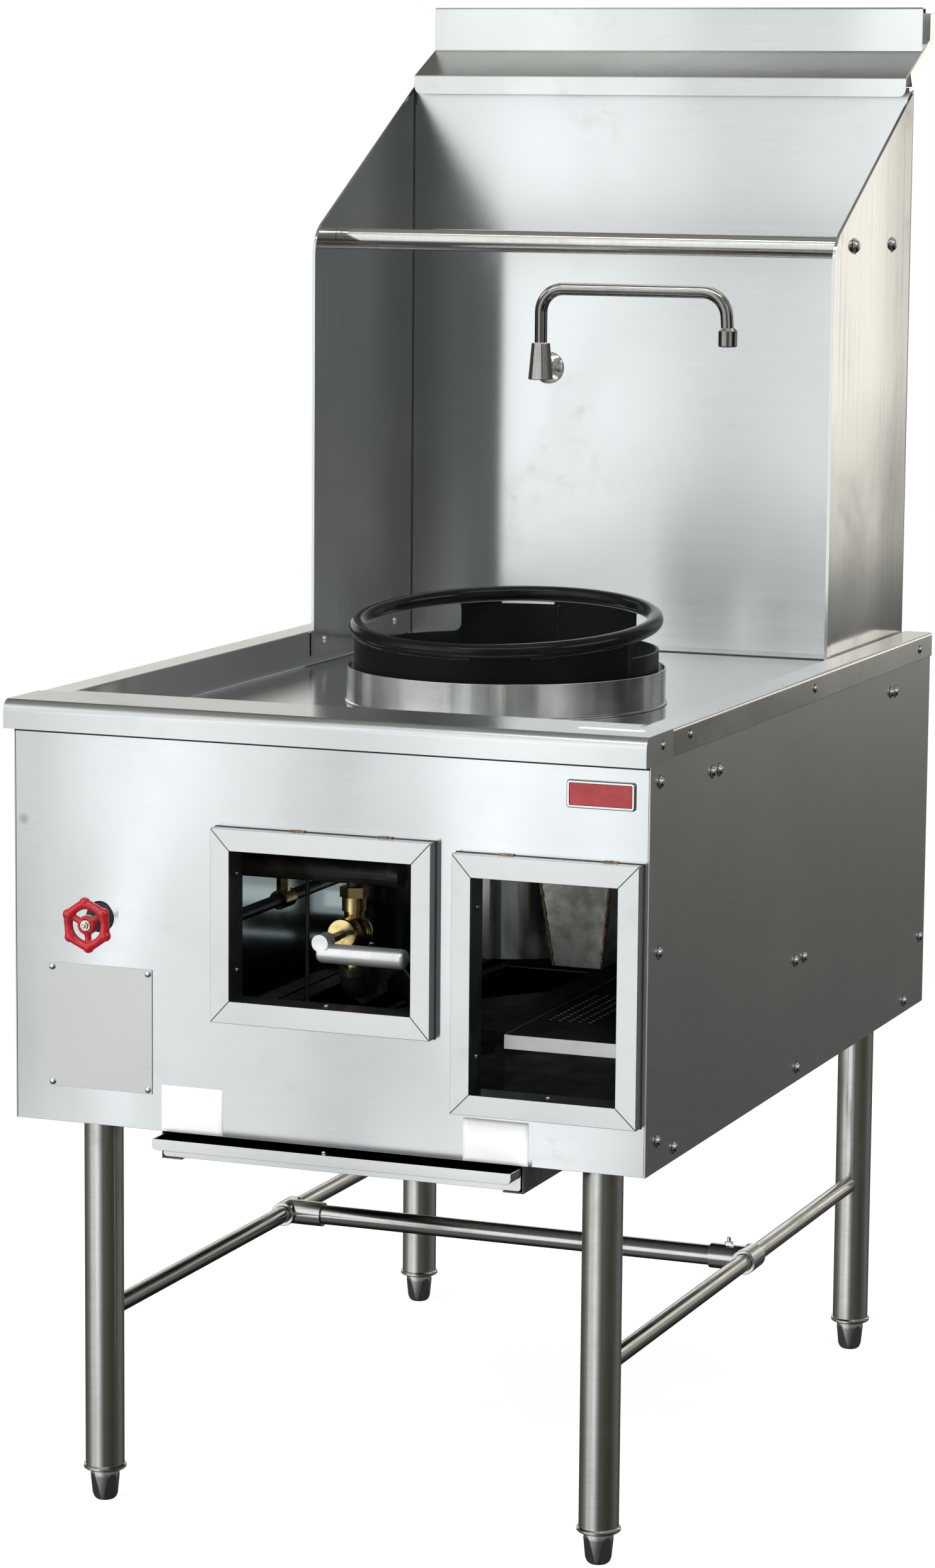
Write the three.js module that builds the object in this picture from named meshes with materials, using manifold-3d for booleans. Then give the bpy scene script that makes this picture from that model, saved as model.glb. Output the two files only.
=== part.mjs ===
// Single-burner wok range on four tube legs with splash wings, a flue riser and a swivel faucet.
// Millimetres, +Z up, front face towards -Y. All y values below are counted from the front
// apron's face and shifted by Y_MID at the end, so that the origin is the bottom centre of the whole.
import * as THREE from "three";
import { mergeVertices } from "three/addons/utils/BufferGeometryUtils.js";
import Module from "manifold-3d";

const wasm = await Module();
wasm.setup();

// ---- driving dimensions ----
const W = 700; // overall width of the worktop
const HW = W / 2;
const DEPTH = 1018; // worktop and cabinet depth behind the apron
const TOP = 865.5; // top of the front rim
const PAN_TOP = 864.9; // top of the side rims, one lap lower
const DECK = 825; // floor of the sunk deck
const T_TOP = 1.6; // worktop sheet
const RIM_SIDE = 34.7; // width of the side rims
const RIM_FRONT = 98; // depth of the front rim
const CAP_RETURN = 80; // side return of the front rim
const APRON_FRONT = 29.8;
const APRON_SIDE = 27.5;
const CAB_BOTTOM = 423; // bottom edge of the cabinet
const PANEL_Y = 20; // front panel plane
const T = 1.5; // cabinet sheet
const PX = 347.8; // outer face of the side panels
const LEG_X = 279.6;
const LEG_Y = [88, 975.5];
const LEG_R = 20.8;
const LEG_BOTTOM = 38.7;
const RAIL_Z = 204.4;
const RAIL_R = 9.6;
const CROSS_Y = 571.9;
const CROSS_R = 11.3;
const WING_X = 312; // inner faces of the wings
const T_WING = 1.3;
const SHEET_Y = 1014.5; // front face of the back sheet
const SKIN_Y = 1028.5; // rear face of the flue skin
const CAP_X = 307.3; // half width of the flue riser
const REAR_Y = 1118; // rear plane of the riser
const RAIL_POT = { y: 786, z: 1320, r: 12.7 };
const KX = 8.2; // burner axis
const KY = 508.3;
const COLLAR_R = 176;
const COLLAR_TOP = 864;
const RING = { x: 7.5, y: 508, z: 911.9, R: 164.6, r: 8.6, tilt: 5.3 };
const SKIRT_R = 167.8;
const DRUM_R = 160;
const DRUM_BOTTOM = 564;
const SPOUT = { x: -134.4, y: 985, z: 1259, end: 98, r: 7.65 };
const FLANGE_Z = 1163;
const WHEEL = { x: -250, z: 639, y: -11, R: 23.6, r: 4.1 };
const STEM_HOLE = { z: 645, r: 14 }; // grommet hole in the front panel
const VALVE = { x: -12.5, y: 130, z: 629 }; // gas valve
const MANIFOLD_Z = 690;
const WIN_L = { x0: -97.5, x1: 101.5, z0: 568.5, z1: 723.5 };
const WIN_R = { x0: 165.5, x1: 320.5, z0: 494.5, z1: 714.5 };
const FRAME_L = { x0: -118.5, x1: 122.5, z0: 545.5, z1: 746 };
const FRAME_R = { x0: 145, x1: 342.5, z0: 473.5, z1: 737.5 };
const FRAME_Y = 4.8; // front face of the window frames
const LINER_BACK = 39;
const TRAY = { x0: -177.5, x1: 217, y0: -10, y1: 815, z0: 397.5, z1: 421.5 };
const Y_FRONT = -20; // tip of the handwheel's spindle end
const Y_MID = (Y_FRONT + REAR_Y) / 2;

// ---- helpers ----
const V3 = (x, y, z) => new THREE.Vector3(x, y, z);

function solid(geometry) {
  const g = geometry.index ? geometry.toNonIndexed() : geometry.clone();
  g.deleteAttribute("normal");
  g.deleteAttribute("uv");
  const m = mergeVertices(g, 1e-4);
  const make = (tri) =>
    new wasm.Manifold(
      new wasm.Mesh({
        numProp: 3,
        vertProperties: new Float32Array(m.attributes.position.array),
        triVerts: tri,
      }),
    );
  const tri = new Uint32Array(m.index.array);
  let s = make(tri);
  if (s.volume() < 0) {
    for (let i = 0; i < tri.length; i += 3)
      [tri[i + 1], tri[i + 2]] = [tri[i + 2], tri[i + 1]];
    s = make(tri);
  }
  return s;
}

// A solid moved, turned or mirrored by a matrix.
function placed(s, matrix) {
  const m = s.getMesh(),
    n = m.numProp;
  const pos = new Float32Array(m.numVert * 3);
  for (let i = 0; i < m.numVert; i++)
    pos.set(m.vertProperties.subarray(i * n, i * n + 3), 3 * i);
  const g = new THREE.BufferGeometry();
  g.setAttribute("position", new THREE.BufferAttribute(pos, 3));
  g.setIndex(new THREE.BufferAttribute(new Uint32Array(m.triVerts), 1));
  g.applyMatrix4(matrix);
  return solid(g);
}
const moved = (s, x, y, z) =>
  placed(s, new THREE.Matrix4().makeTranslation(x, y, z));
const turnedZ = (s, deg) =>
  placed(s, new THREE.Matrix4().makeRotationZ(THREE.MathUtils.degToRad(deg)));
const mirroredX = (s) => placed(s, new THREE.Matrix4().makeScale(-1, 1, 1));

const join = (...s) => s.reduce((a, b) => a.add(b));
const cut = (a, ...s) => s.reduce((x, y) => x.subtract(y), a);

function box(x0, x1, y0, y1, z0, z1) {
  const g = new THREE.BoxGeometry(x1 - x0, y1 - y0, z1 - z0);
  g.translate((x0 + x1) / 2, (y0 + y1) / 2, (z0 + z1) / 2);
  return solid(g);
}

// A flat outline, given as [a, b] pairs, drawn out along one axis.
function prism(axis, pts, from, to, holes = []) {
  const shape = new THREE.Shape(pts.map((p) => new THREE.Vector2(p[0], p[1])));
  for (const h of holes)
    shape.holes.push(
      new THREE.Path(h.map((p) => new THREE.Vector2(p[0], p[1]))),
    );
  const g = new THREE.ExtrudeGeometry(shape, {
    depth: to - from,
    bevelEnabled: false,
    steps: 1,
  });
  const m = new THREE.Matrix4();
  if (axis === "x")
    m.makeBasis(V3(0, 1, 0), V3(0, 0, 1), V3(1, 0, 0)).setPosition(from, 0, 0);
  if (axis === "y")
    m.makeBasis(V3(1, 0, 0), V3(0, 0, 1), V3(0, 1, 0)).setPosition(0, from, 0);
  if (axis === "z")
    m.makeBasis(V3(1, 0, 0), V3(0, 1, 0), V3(0, 0, 1)).setPosition(0, 0, from);
  g.applyMatrix4(m);
  return solid(g);
}

// An outline of [radius, height] pairs turned about an axis through at.
function turned(profile, at, axis = "z", seg = 24, phase = 0) {
  const p = profile.map((q) => new THREE.Vector2(Math.max(q[0], 0), q[1]));
  const first = profile[0],
    last = profile[profile.length - 1];
  const onAxis = first[0] <= 0 && last[0] <= 0;
  if (!onAxis) p.push(p[0].clone());
  const g = new THREE.LatheGeometry(p, seg, phase);
  if (axis === "z") g.rotateX(Math.PI / 2);
  if (axis === "x") g.rotateZ(-Math.PI / 2);
  g.translate(at[0], at[1], at[2]);
  return solid(g);
}

// A round bar from a to b.
function rod(a, b, r, seg = 16, phase = 0) {
  const A = V3(...a),
    B = V3(...b),
    d = B.clone().sub(A),
    L = d.length();
  const g = new THREE.CylinderGeometry(r, r, L, seg, 1, false, phase);
  g.applyQuaternion(
    new THREE.Quaternion().setFromUnitVectors(V3(0, 1, 0), d.normalize()),
  );
  g.translate((A.x + B.x) / 2, (A.y + B.y) / 2, (A.z + B.z) / 2);
  return solid(g);
}

// A corner path with rounded corners, as a list of points in space.
function bent(points, radii, n = 6) {
  const P = points.map((p) => V3(...p));
  const out = [P[0]];
  for (let i = 1; i < P.length - 1; i++) {
    const r = Array.isArray(radii) ? radii[i - 1] : radii;
    const u = P[i - 1].clone().sub(P[i]).normalize(),
      v = P[i + 1].clone().sub(P[i]).normalize();
    const half = Math.acos(THREE.MathUtils.clamp(u.dot(v), -1, 1)) / 2;
    if (!r || Math.abs(half - Math.PI / 2) < 1e-3) {
      out.push(P[i]);
      continue;
    }
    const k = r / Math.tan(half);
    const mid = u.clone().add(v).normalize();
    const c = P[i].clone().addScaledVector(mid, r / Math.sin(half));
    const s = P[i].clone().addScaledVector(u, k).sub(c),
      e = P[i].clone().addScaledVector(v, k).sub(c);
    const turn = s.angleTo(e);
    for (let j = 0; j <= n; j++) {
      const t = j / n;
      out.push(
        s
          .clone()
          .multiplyScalar(Math.sin((1 - t) * turn) / Math.sin(turn))
          .addScaledVector(e, Math.sin(t * turn) / Math.sin(turn))
          .add(c),
      );
    }
  }
  out.push(P[P.length - 1]);
  return out;
}

// A round bar of radius r along a list of points, closed at both ends.
function swept(path, r, seg = 12) {
  const rings = [];
  let normal = null,
    before = null;
  path.forEach((p, i) => {
    const a = path[Math.max(i - 1, 0)],
      b = path[Math.min(i + 1, path.length - 1)];
    const inDir = p.clone().sub(a).normalize(),
      outDir = b.clone().sub(p).normalize();
    const t = (
      i === 0 ? outDir : i === path.length - 1 ? inDir : inDir.clone().add(outDir)
    )
      .clone()
      .normalize();
    if (!normal) {
      normal =
        Math.abs(t.z) < 0.9 ? V3(0, 0, 1).cross(t) : V3(1, 0, 0).cross(t);
      normal.normalize();
    } else
      normal
        .applyQuaternion(new THREE.Quaternion().setFromUnitVectors(before, t))
        .normalize();
    before = t.clone();
    const bi = t.clone().cross(normal);
    rings.push(
      Array.from({ length: seg }, (_, k) => {
        const w = (k / seg) * 2 * Math.PI;
        return p
          .clone()
          .addScaledVector(normal, r * Math.cos(w))
          .addScaledVector(bi, r * Math.sin(w));
      }),
    );
  });
  const pos = [];
  const tri = (...v) => v.forEach((q) => pos.push(q.x, q.y, q.z));
  for (let i = 0; i < rings.length - 1; i++)
    for (let k = 0; k < seg; k++) {
      const a = rings[i][k],
        b = rings[i][(k + 1) % seg],
        c = rings[i + 1][(k + 1) % seg],
        d = rings[i + 1][k];
      tri(a, b, c);
      tri(a, c, d);
    }
  const first = rings[0],
    end = rings[rings.length - 1];
  for (let k = 1; k < seg - 1; k++) {
    tri(first[0], first[k + 1], first[k]);
    tri(end[0], end[k], end[k + 1]);
  }
  const g = new THREE.BufferGeometry();
  g.setAttribute("position", new THREE.Float32BufferAttribute(pos, 3));
  return solid(g);
}

// A sheet bent along an outline: the given face, and a face t to its right.
function sheet(points, radii, t, n = 4) {
  const line = bent(
    points.map((p) => [p[0], p[1], 0]),
    radii,
    n,
  ).map((p) => [p.x, p.y]);
  const off = line.map((p, i) => {
    const a = line[Math.max(i - 1, 0)],
      b = line[Math.min(i + 1, line.length - 1)];
    const dir = (q, w) => {
      const l = Math.hypot(w[0] - q[0], w[1] - q[1]);
      return [(w[0] - q[0]) / l, (w[1] - q[1]) / l];
    };
    const d0 = i === 0 ? dir(p, b) : dir(a, p),
      d1 = i === line.length - 1 ? dir(a, p) : dir(p, b);
    const m = [d0[0] + d1[0], d0[1] + d1[1]],
      l = Math.hypot(...m);
    const nx = m[1] / l,
      ny = -m[0] / l;
    const k = t / Math.max(0.3, nx * d0[1] - ny * d0[0]);
    return [p[0] + nx * k, p[1] + ny * k];
  });
  return line.concat(off.reverse());
}

// A solid with four corners below and four above, in turn.
function hexa(low, high) {
  const p = [...low, ...high].map((q) => V3(...q));
  const f = [
    [0, 3, 2],
    [0, 2, 1],
    [4, 5, 6],
    [4, 6, 7],
    [0, 1, 5],
    [0, 5, 4],
    [1, 2, 6],
    [1, 6, 5],
    [2, 3, 7],
    [2, 7, 6],
    [3, 0, 4],
    [3, 4, 7],
  ];
  const pos = f.flat().flatMap((i) => [p[i].x, p[i].y, p[i].z]);
  const g = new THREE.BufferGeometry();
  g.setAttribute("position", new THREE.Float32BufferAttribute(pos, 3));
  return solid(g);
}

const rect = (cx, cy, hx, hy, z) => [
  [cx - hx, cy - hy, z],
  [cx + hx, cy - hy, z],
  [cx + hx, cy + hy, z],
  [cx - hx, cy + hy, z],
];

// A block between two radii, from angle a0 to a1 in degrees, with given lower and upper heights.
function sector(cx, cy, r0, r1, a0, a1, low, high, n = 12) {
  const pos = [];
  const tri = (...v) => v.forEach((q) => pos.push(...q));
  const at = (r, a, z) => [cx + r * Math.cos(a), cy + r * Math.sin(a), z];
  const slice = Array.from({ length: n + 1 }, (_, i) => {
    const t = i / n,
      a = THREE.MathUtils.degToRad(a0 + (a1 - a0) * t);
    return [
      at(r0, a, low(t)),
      at(r1, a, low(t)),
      at(r1, a, high(t)),
      at(r0, a, high(t)),
    ];
  });
  for (let i = 0; i < n; i++)
    for (let k = 0; k < 4; k++) {
      const a = slice[i][k],
        b = slice[i][(k + 1) % 4],
        c = slice[i + 1][(k + 1) % 4],
        d = slice[i + 1][k];
      tri(a, b, c);
      tri(a, c, d);
    }
  const s = slice[0],
    e = slice[n];
  tri(s[0], s[2], s[1]);
  tri(s[0], s[3], s[2]);
  tri(e[0], e[1], e[2]);
  tri(e[0], e[2], e[3]);
  const g = new THREE.BufferGeometry();
  g.setAttribute("position", new THREE.Float32BufferAttribute(pos, 3));
  return solid(g);
}

const LOOKS = {
  brushed: { color: 0xc4c7c9, roughness: 0.38, metalness: 1 },
  polished: { color: 0xd0d2d4, roughness: 0.2, metalness: 1 },
  dark_steel: { color: 0x55585b, roughness: 0.45, metalness: 1 },
  black_iron: { color: 0x1d1e20, roughness: 0.5, metalness: 0.6 },
  black_paint: { color: 0x121314, roughness: 0.55, metalness: 0.2 },
  brass: { color: 0xb8913f, roughness: 0.3, metalness: 1 },
  aluminium: { color: 0xdadcde, roughness: 0.3, metalness: 1 },
  ceramic: { color: 0xb9a98f, roughness: 0.9, metalness: 0 },
  red: { color: 0xa3161a, roughness: 0.4, metalness: 0.1 },
};

const root = new THREE.Group();
root.name = "wok_range";

function node(name, look, body) {
  const m = body.getMesh(),
    n = m.numProp;
  const pos = new Float32Array(m.numVert * 3);
  for (let i = 0; i < m.numVert; i++) {
    pos[3 * i] = m.vertProperties[n * i];
    pos[3 * i + 1] = m.vertProperties[n * i + 1] - Y_MID;
    pos[3 * i + 2] = m.vertProperties[n * i + 2];
  }
  const g = new THREE.BufferGeometry();
  g.setAttribute("position", new THREE.BufferAttribute(pos, 3));
  g.setIndex(new THREE.BufferAttribute(new Uint32Array(m.triVerts), 1));
  g.computeVertexNormals();
  const mesh = new THREE.Mesh(
    g,
    new THREE.MeshStandardMaterial({ ...LOOKS[look], flatShading: true }),
  );
  mesh.name = name;
  root.add(mesh);
}

// ---- legs, feet and the lower brace ----
const LEG_TOP = 424.5;
for (const [side, x] of [
  ["left", -LEG_X],
  ["right", LEG_X],
])
  for (const [end, y] of [
    ["front", LEG_Y[0]],
    ["rear", LEG_Y[1]],
  ]) {
    node(
      `leg_${side}_${end}`,
      "brushed",
      turned(
        [
          [6.5, 34],
          [21.6, 34],
          [22.9, 35.2],
          [22.9, 37.5],
          [21.8, LEG_BOTTOM],
          [LEG_R, LEG_BOTTOM + 0.4],
          [LEG_R, LEG_TOP],
          [LEG_R - 1.5, LEG_TOP],
          [LEG_R - 1.5, 62],
          [6.5, 62],
        ],
        [x, y, 0],
        "z",
        24,
      ),
    );
    // A levelling foot: round under the collar, with four flats towards its narrow base.
    const flats = turnedZ(
      hexa(rect(0, 0, 9.8, 9.8, -1), rect(0, 0, 16.4, 16.4, 34)),
      57,
    );
    node(
      `foot_${side}_${end}`,
      "brushed",
      moved(join(
        turned(
          [
            [0, 0],
            [9.6, 0],
            [12, 2],
            [13.6, 6],
            [15.6, 26],
            [15.3, 31],
            [14, 33.7],
            [0, 33.7],
          ],
          [0, 0, 0],
          "z",
          20,
        ).intersect(flats),
        turned(
          [
            [0, 33],
            [5.9, 33],
            [5.9, 80],
            [0, 80],
          ],
          [0, 0, 0],
          "z",
          10,
        ),
      ), x, y, 0),
    );
  }

const GAP = 0.3;
for (const [side, s] of [
  ["left", -1],
  ["right", 1],
])
  node(
    `side_rail_${side}`,
    "polished",
    rod(
      [s * LEG_X, LEG_Y[0] + LEG_R + GAP, RAIL_Z],
      [s * LEG_X, LEG_Y[1] - LEG_R - GAP, RAIL_Z],
      RAIL_R,
      20,
    ),
  );
node(
  "cross_tube",
  "polished",
  rod(
    [-LEG_X + 20, CROSS_Y, RAIL_Z],
    [LEG_X - 20, CROSS_Y, RAIL_Z],
    CROSS_R,
    20,
  ),
);
for (const [side, s] of [
  ["left", -1],
  ["right", 1],
]) {
  const c = join(
    rod(
      [s * LEG_X, CROSS_Y - 19, RAIL_Z],
      [s * LEG_X, CROSS_Y + 19, RAIL_Z],
      14,
      24,
    ),
    rod([s * LEG_X, CROSS_Y, RAIL_Z], [s * (LEG_X - 44), CROSS_Y, RAIL_Z], 14, 24),
  );
  node(
    `tee_clamp_${side}`,
    "brushed",
    cut(
      c,
      rod(
        [s * LEG_X, CROSS_Y - 30, RAIL_Z],
        [s * LEG_X, CROSS_Y + 30, RAIL_Z],
        RAIL_R + GAP,
        20,
      ),
      rod(
        [s * (LEG_X - 19.7), CROSS_Y, RAIL_Z],
        [s * (LEG_X - 60), CROSS_Y, RAIL_Z],
        CROSS_R + GAP,
        20,
      ),
    ),
  );
}

// ---- base frame: a perimeter angle, corner plates for the legs and a rear tie bar ----
{
  const z0 = CAB_BOTTOM + 2,
    z1 = z0 + 3,
    X = PX - T - 2.1,
    y0 = PANEL_Y + T + 0.4,
    y1 = DEPTH - 2;
  let f = cut(
    box(-X, X, y0, y1, z0, z1),
    box(-X + 25, X - 25, y0 + 25, y1 - 25, z0 - 1, z1 + 1),
  );
  for (const s of [-1, 1])
    for (const [a, b] of [
      [y0 + 10, 140],
      [925, y1 - 10],
    ])
      f = f.add(
        box(Math.min(s * 246, s * (X - 5)), Math.max(s * 246, s * (X - 5)), a, b, z0, z1),
      );
  f = join(
    f,
    box(-X + 5, X - 5, 915, 918, z0, 444),
    box(-X + 5, X - 5, 915, 940, z0, z1),
  );
  node("base_frame", "black_paint", f);
}

// ---- cabinet sheets ----
const grow = (w, d) => [
  [w.x0 - d, w.z0 - d],
  [w.x1 + d, w.z0 - d],
  [w.x1 + d, w.z1 + d],
  [w.x0 - d, w.z1 + d],
];
{
  const X = PX - T - GAP,
    top = 862.6;
  let p = cut(
    box(-X, X, PANEL_Y, 58, CAB_BOTTOM + 0.4, top),
    box(-X + T, X - T, PANEL_Y + T, 60, CAB_BOTTOM, top + 1),
  );
  p = p.add(
    box(-X + 22, X - 22, PANEL_Y, PANEL_Y + 16, CAB_BOTTOM + 0.4, CAB_BOTTOM + 0.4 + T),
  );
  p = cut(
    p,
    prism("y", grow(WIN_L, 2), PANEL_Y - 2, PANEL_Y + 4),
    prism("y", grow(WIN_R, 2), PANEL_Y - 2, PANEL_Y + 4),
    rod(
      [WHEEL.x, PANEL_Y - 2, STEM_HOLE.z],
      [WHEEL.x, PANEL_Y + 4, STEM_HOLE.z],
      STEM_HOLE.r,
      20,
    ),
  );
  node("front_panel", "brushed", p);
}
for (const [side, s] of [
  ["left", -1],
  ["right", 1],
]) {
  const face = join(
    box(PX - T, PX, PANEL_Y, DEPTH, CAB_BOTTOM, 862.5),
    box(328, PX, PANEL_Y + 39, DEPTH, CAB_BOTTOM, CAB_BOTTOM + T),
    box(334, PX, PANEL_Y + 60, DEPTH - 24, 806, 807.5),
  );
  node(
    `side_panel_${side}`,
    "brushed",
    s > 0 ? face : mirroredX(face),
  );
}
{
  const X = PX - T - GAP,
    y0 = DEPTH - 1.5,
    y1 = DEPTH;
  const slot = (a, b, z0, z1) => box(a, b, y0 - 1, y1 + 1, z0, z1);
  node(
    "back_panel",
    "brushed",
    cut(
      box(-X, X, y0, y1, CAB_BOTTOM + 2, DECK - T_TOP - GAP),
      slot(-232, 232, 481, 501),
      slot(-330, -264, 481, 501),
      slot(264, 330, 481, 501),
      slot(-232, 232, 446, 453),
      slot(-330, -264, 446, 453),
      slot(264, 330, 446, 453),
      rod([SPOUT.x, y0 - 2, 588], [SPOUT.x, y1 + 2, 588], 9, 16),
      rod([-305, y0 - 2, MANIFOLD_Z], [-305, y1 + 2, MANIFOLD_Z], 16, 16),
    ),
  );
}

// ---- worktop ----
const DECK_HOLE = 168;
{
  const X = HW - 0.3,
    I = HW - RIM_SIDE;
  const outline = sheet(
    [
      [-X, TOP - 0.6 - APRON_SIDE],
      [-X, PAN_TOP],
      [-I, PAN_TOP],
      [-I, DECK],
      [I, DECK],
      [I, PAN_TOP],
      [X, PAN_TOP],
      [X, TOP - 0.6 - APRON_SIDE],
    ],
    [3, 2.2, 5, 5, 2.2, 3],
    T_TOP,
  );
  node(
    "worktop_pan",
    "brushed",
    cut(
      join(
        prism("y", outline, CAP_RETURN + GAP, DEPTH),
        box(-I - 0.8, I + 0.8, SHEET_Y + T + GAP, DEPTH, DECK - 1, 861),
      ),
      turned(
        [
          [0, DECK - 10],
          [DECK_HOLE, DECK - 10],
          [DECK_HOLE, DECK + 10],
          [0, DECK + 10],
        ],
        [KX, KY, 0],
        "z",
        56,
      ),
    ),
  );
}
{
  const t = 1.8;
  const I = HW - RIM_SIDE - 0.3;
  const outline = sheet(
    [
      [0, TOP - APRON_FRONT],
      [0, TOP],
      [RIM_FRONT, TOP],
      [RIM_FRONT, DECK + GAP],
    ],
    [12, 2.5],
    t,
    6,
  );
  const side = bent(
    [
      [0.5, TOP - APRON_FRONT, 0],
      [0.5, TOP - 0.5, 0],
      [CAP_RETURN, TOP - 0.5, 0],
      [CAP_RETURN, TOP - APRON_FRONT, 0],
    ],
    [11.5, 0],
    4,
  ).map((p) => [p.x, p.y]);
  let c = prism("x", outline, -HW, HW);
  c = cut(
    c,
    box(I, HW + 1, CAP_RETURN, 200, 700, 900),
    box(-HW - 1, -I, CAP_RETURN, 200, 700, 900),
    box(I, HW + 1, 40, 200, 700, TOP - t - 4),
    box(-HW - 1, -I, 40, 200, 700, TOP - t - 4),
    box(309.6, HW, 90, 200, 820, 831),
    box(-HW, -309.6, 90, 200, 820, 831),
  );
  c = join(
    c,
    prism("x", side, HW - t, HW),
    prism("x", side, -HW, -HW + t),
    box(-HW + 1, HW - 1, 1, 12, TOP - APRON_FRONT + 0.3, TOP - APRON_FRONT + 2),
  );
  node("front_rim", "brushed", c);
}

// ---- burner collar, drum, lining, head and the lift-off ring ----
node(
  "burner_collar",
  "brushed",
  turned(
    [
      [COLLAR_R - T, DECK + GAP + T],
      [COLLAR_R - T, 838],
      [171.4, 838],
      [163, 838],
      [163, 839.6],
      [COLLAR_R - T, 839.6],
      [COLLAR_R - T, COLLAR_TOP],
      [COLLAR_R, COLLAR_TOP],
      [COLLAR_R, DECK + 2.6],
      [COLLAR_R + 2, DECK + 1.6],
      [COLLAR_R + 2, DECK + GAP],
      [169.5, DECK + GAP],
      [169.5, DECK + GAP + T],
    ],
    [KX, KY, 0],
    "z",
    52,
  ),
);
node(
  "burner_drum",
  "polished",
  turned(
    [
      [DRUM_R - T, DRUM_BOTTOM],
      [DRUM_R, DRUM_BOTTOM],
      [DRUM_R, 822.8],
      [DRUM_R - T, 822.8],
    ],
    [KX, KY, 0],
    "z",
    48,
  ),
);
node(
  "drum_lining",
  "ceramic",
  turned(
    [
      [DRUM_R - T - 0.4, 820],
      [DRUM_R - T - 0.4, 640],
      [100, 640],
      [86, 690],
      [92, 706],
      [146, 812],
      [150, 820],
    ],
    [KX, KY, 0],
    "z",
    40,
  ),
);
node(
  "burner_head",
  "black_iron",
  turned(
    [
      [0, DRUM_BOTTOM - 14],
      [16, DRUM_BOTTOM - 14],
      [16, DRUM_BOTTOM],
      [DRUM_R - T - 1, DRUM_BOTTOM],
      [DRUM_R - T - 1, DRUM_BOTTOM + 2],
      [24, DRUM_BOTTOM + 2],
      [24, 600],
      [34, 622],
      [58, 640],
      [58, 664],
      [50, 672],
      [30, 676],
      [26, 684],
      [14, 690],
      [0, 691],
    ],
    [KX, KY, 0],
    "z",
    32,
  ),
);
{
  const rad = THREE.MathUtils.degToRad(RING.tilt);
  const tor = new THREE.TorusGeometry(RING.R, RING.r, 12, 60);
  tor.rotateX(rad);
  tor.translate(RING.x, RING.y, RING.z);
  let skirt = turned(
    [
      [SKIRT_R - 3, 840.2],
      [SKIRT_R, 840.2],
      [SKIRT_R, 950],
      [SKIRT_R - 3, 950],
    ],
    [KX, KY, 0],
    "z",
    64,
  );
  const lid = new THREE.BoxGeometry(400, 400, 80);
  lid.translate(0, 0, 40 - 3.2);
  lid.rotateX(rad);
  lid.translate(RING.x, RING.y, RING.z);
  skirt = skirt.subtract(solid(lid));
  const slope = Math.tan(rad);
  const under = (deg) =>
    RING.z + slope * (SKIRT_R * Math.sin(THREE.MathUtils.degToRad(deg)));
  const slot = (a0, a1, z0, drop, r) => {
    const arc = (THREE.MathUtils.degToRad(Math.abs(a1 - a0)) * SKIRT_R) / 1;
    const round = (t) => {
      const d = Math.min(t, 1 - t) * arc;
      return d >= r ? 0 : r - Math.sqrt(Math.max(r * r - (r - d) * (r - d), 0));
    };
    return sector(
      KX,
      KY,
      150,
      185,
      a0,
      a1,
      (t) => z0 + round(t) * 0.98,
      (t) => under(a0 + (a1 - a0) * t) - drop - round(t) * 0.98,
      28,
    );
  };
  skirt = cut(
    skirt,
    slot(129, 197, 884, 5.5, 9),
    slot(-17, 51, 884, 5.5, 9),
    sector(
      KX,
      KY,
      150,
      185,
      92,
      113,
      () => 914.8,
      () => 917.6,
      6,
    ),
  );
  node("wok_ring", "black_iron", skirt.add(solid(tor)));
}

// ---- tapered duct under the deck and the perforated shelf ----
{
  const out = hexa(
    rect(197.5, 255, 27, 26, 588),
    rect(195, 262, 58, 52, 822.6),
  );
  const inn = hexa(
    rect(197.5, 255, 25.4, 24.4, 586),
    rect(195, 262, 56.2, 50.2, 820.6),
  );
  node("air_duct", "dark_steel", out.subtract(inn));
}
{
  const x0 = 187.5,
    x1 = 343.4,
    y0 = 45,
    y1 = 420,
    z = 550.4;
  node(
    "perforated_shelf",
    "black_paint",
    join(
      box(x0, x1, y0, y1, z - 1.4, z),
      box(x0, x1, y0, y0 + 1.4, z - 14, z),
      box(x1 - 1.4, x1, y0, y1, z - 1, z + 30),
      box(148, x0 + 1, y0 + 20, y1, z - 3, z - 1.2),
    ),
  );
}

// ---- window frames and liners ----
function frame(name, outer, inner) {
  const o = grow(outer, 0),
    o1 = grow(outer, -T),
    i = grow(inner, 0);
  node(
    `window_frame_${name}`,
    "brushed",
    cut(
      prism("y", o, FRAME_Y, PANEL_Y - GAP),
      prism("y", o1, FRAME_Y + T, PANEL_Y + 1),
      prism("y", i, FRAME_Y - 1, FRAME_Y + T + 1),
    ),
  );
  node(
    `window_liner_${name}`,
    "black_paint",
    cut(
      prism("y", grow(inner, 1.4), FRAME_Y + T + GAP, LINER_BACK),
      prism("y", i, FRAME_Y, LINER_BACK + 1),
    ),
  );
}
frame("left", FRAME_L, WIN_L);
frame("right", FRAME_R, WIN_R);

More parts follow.
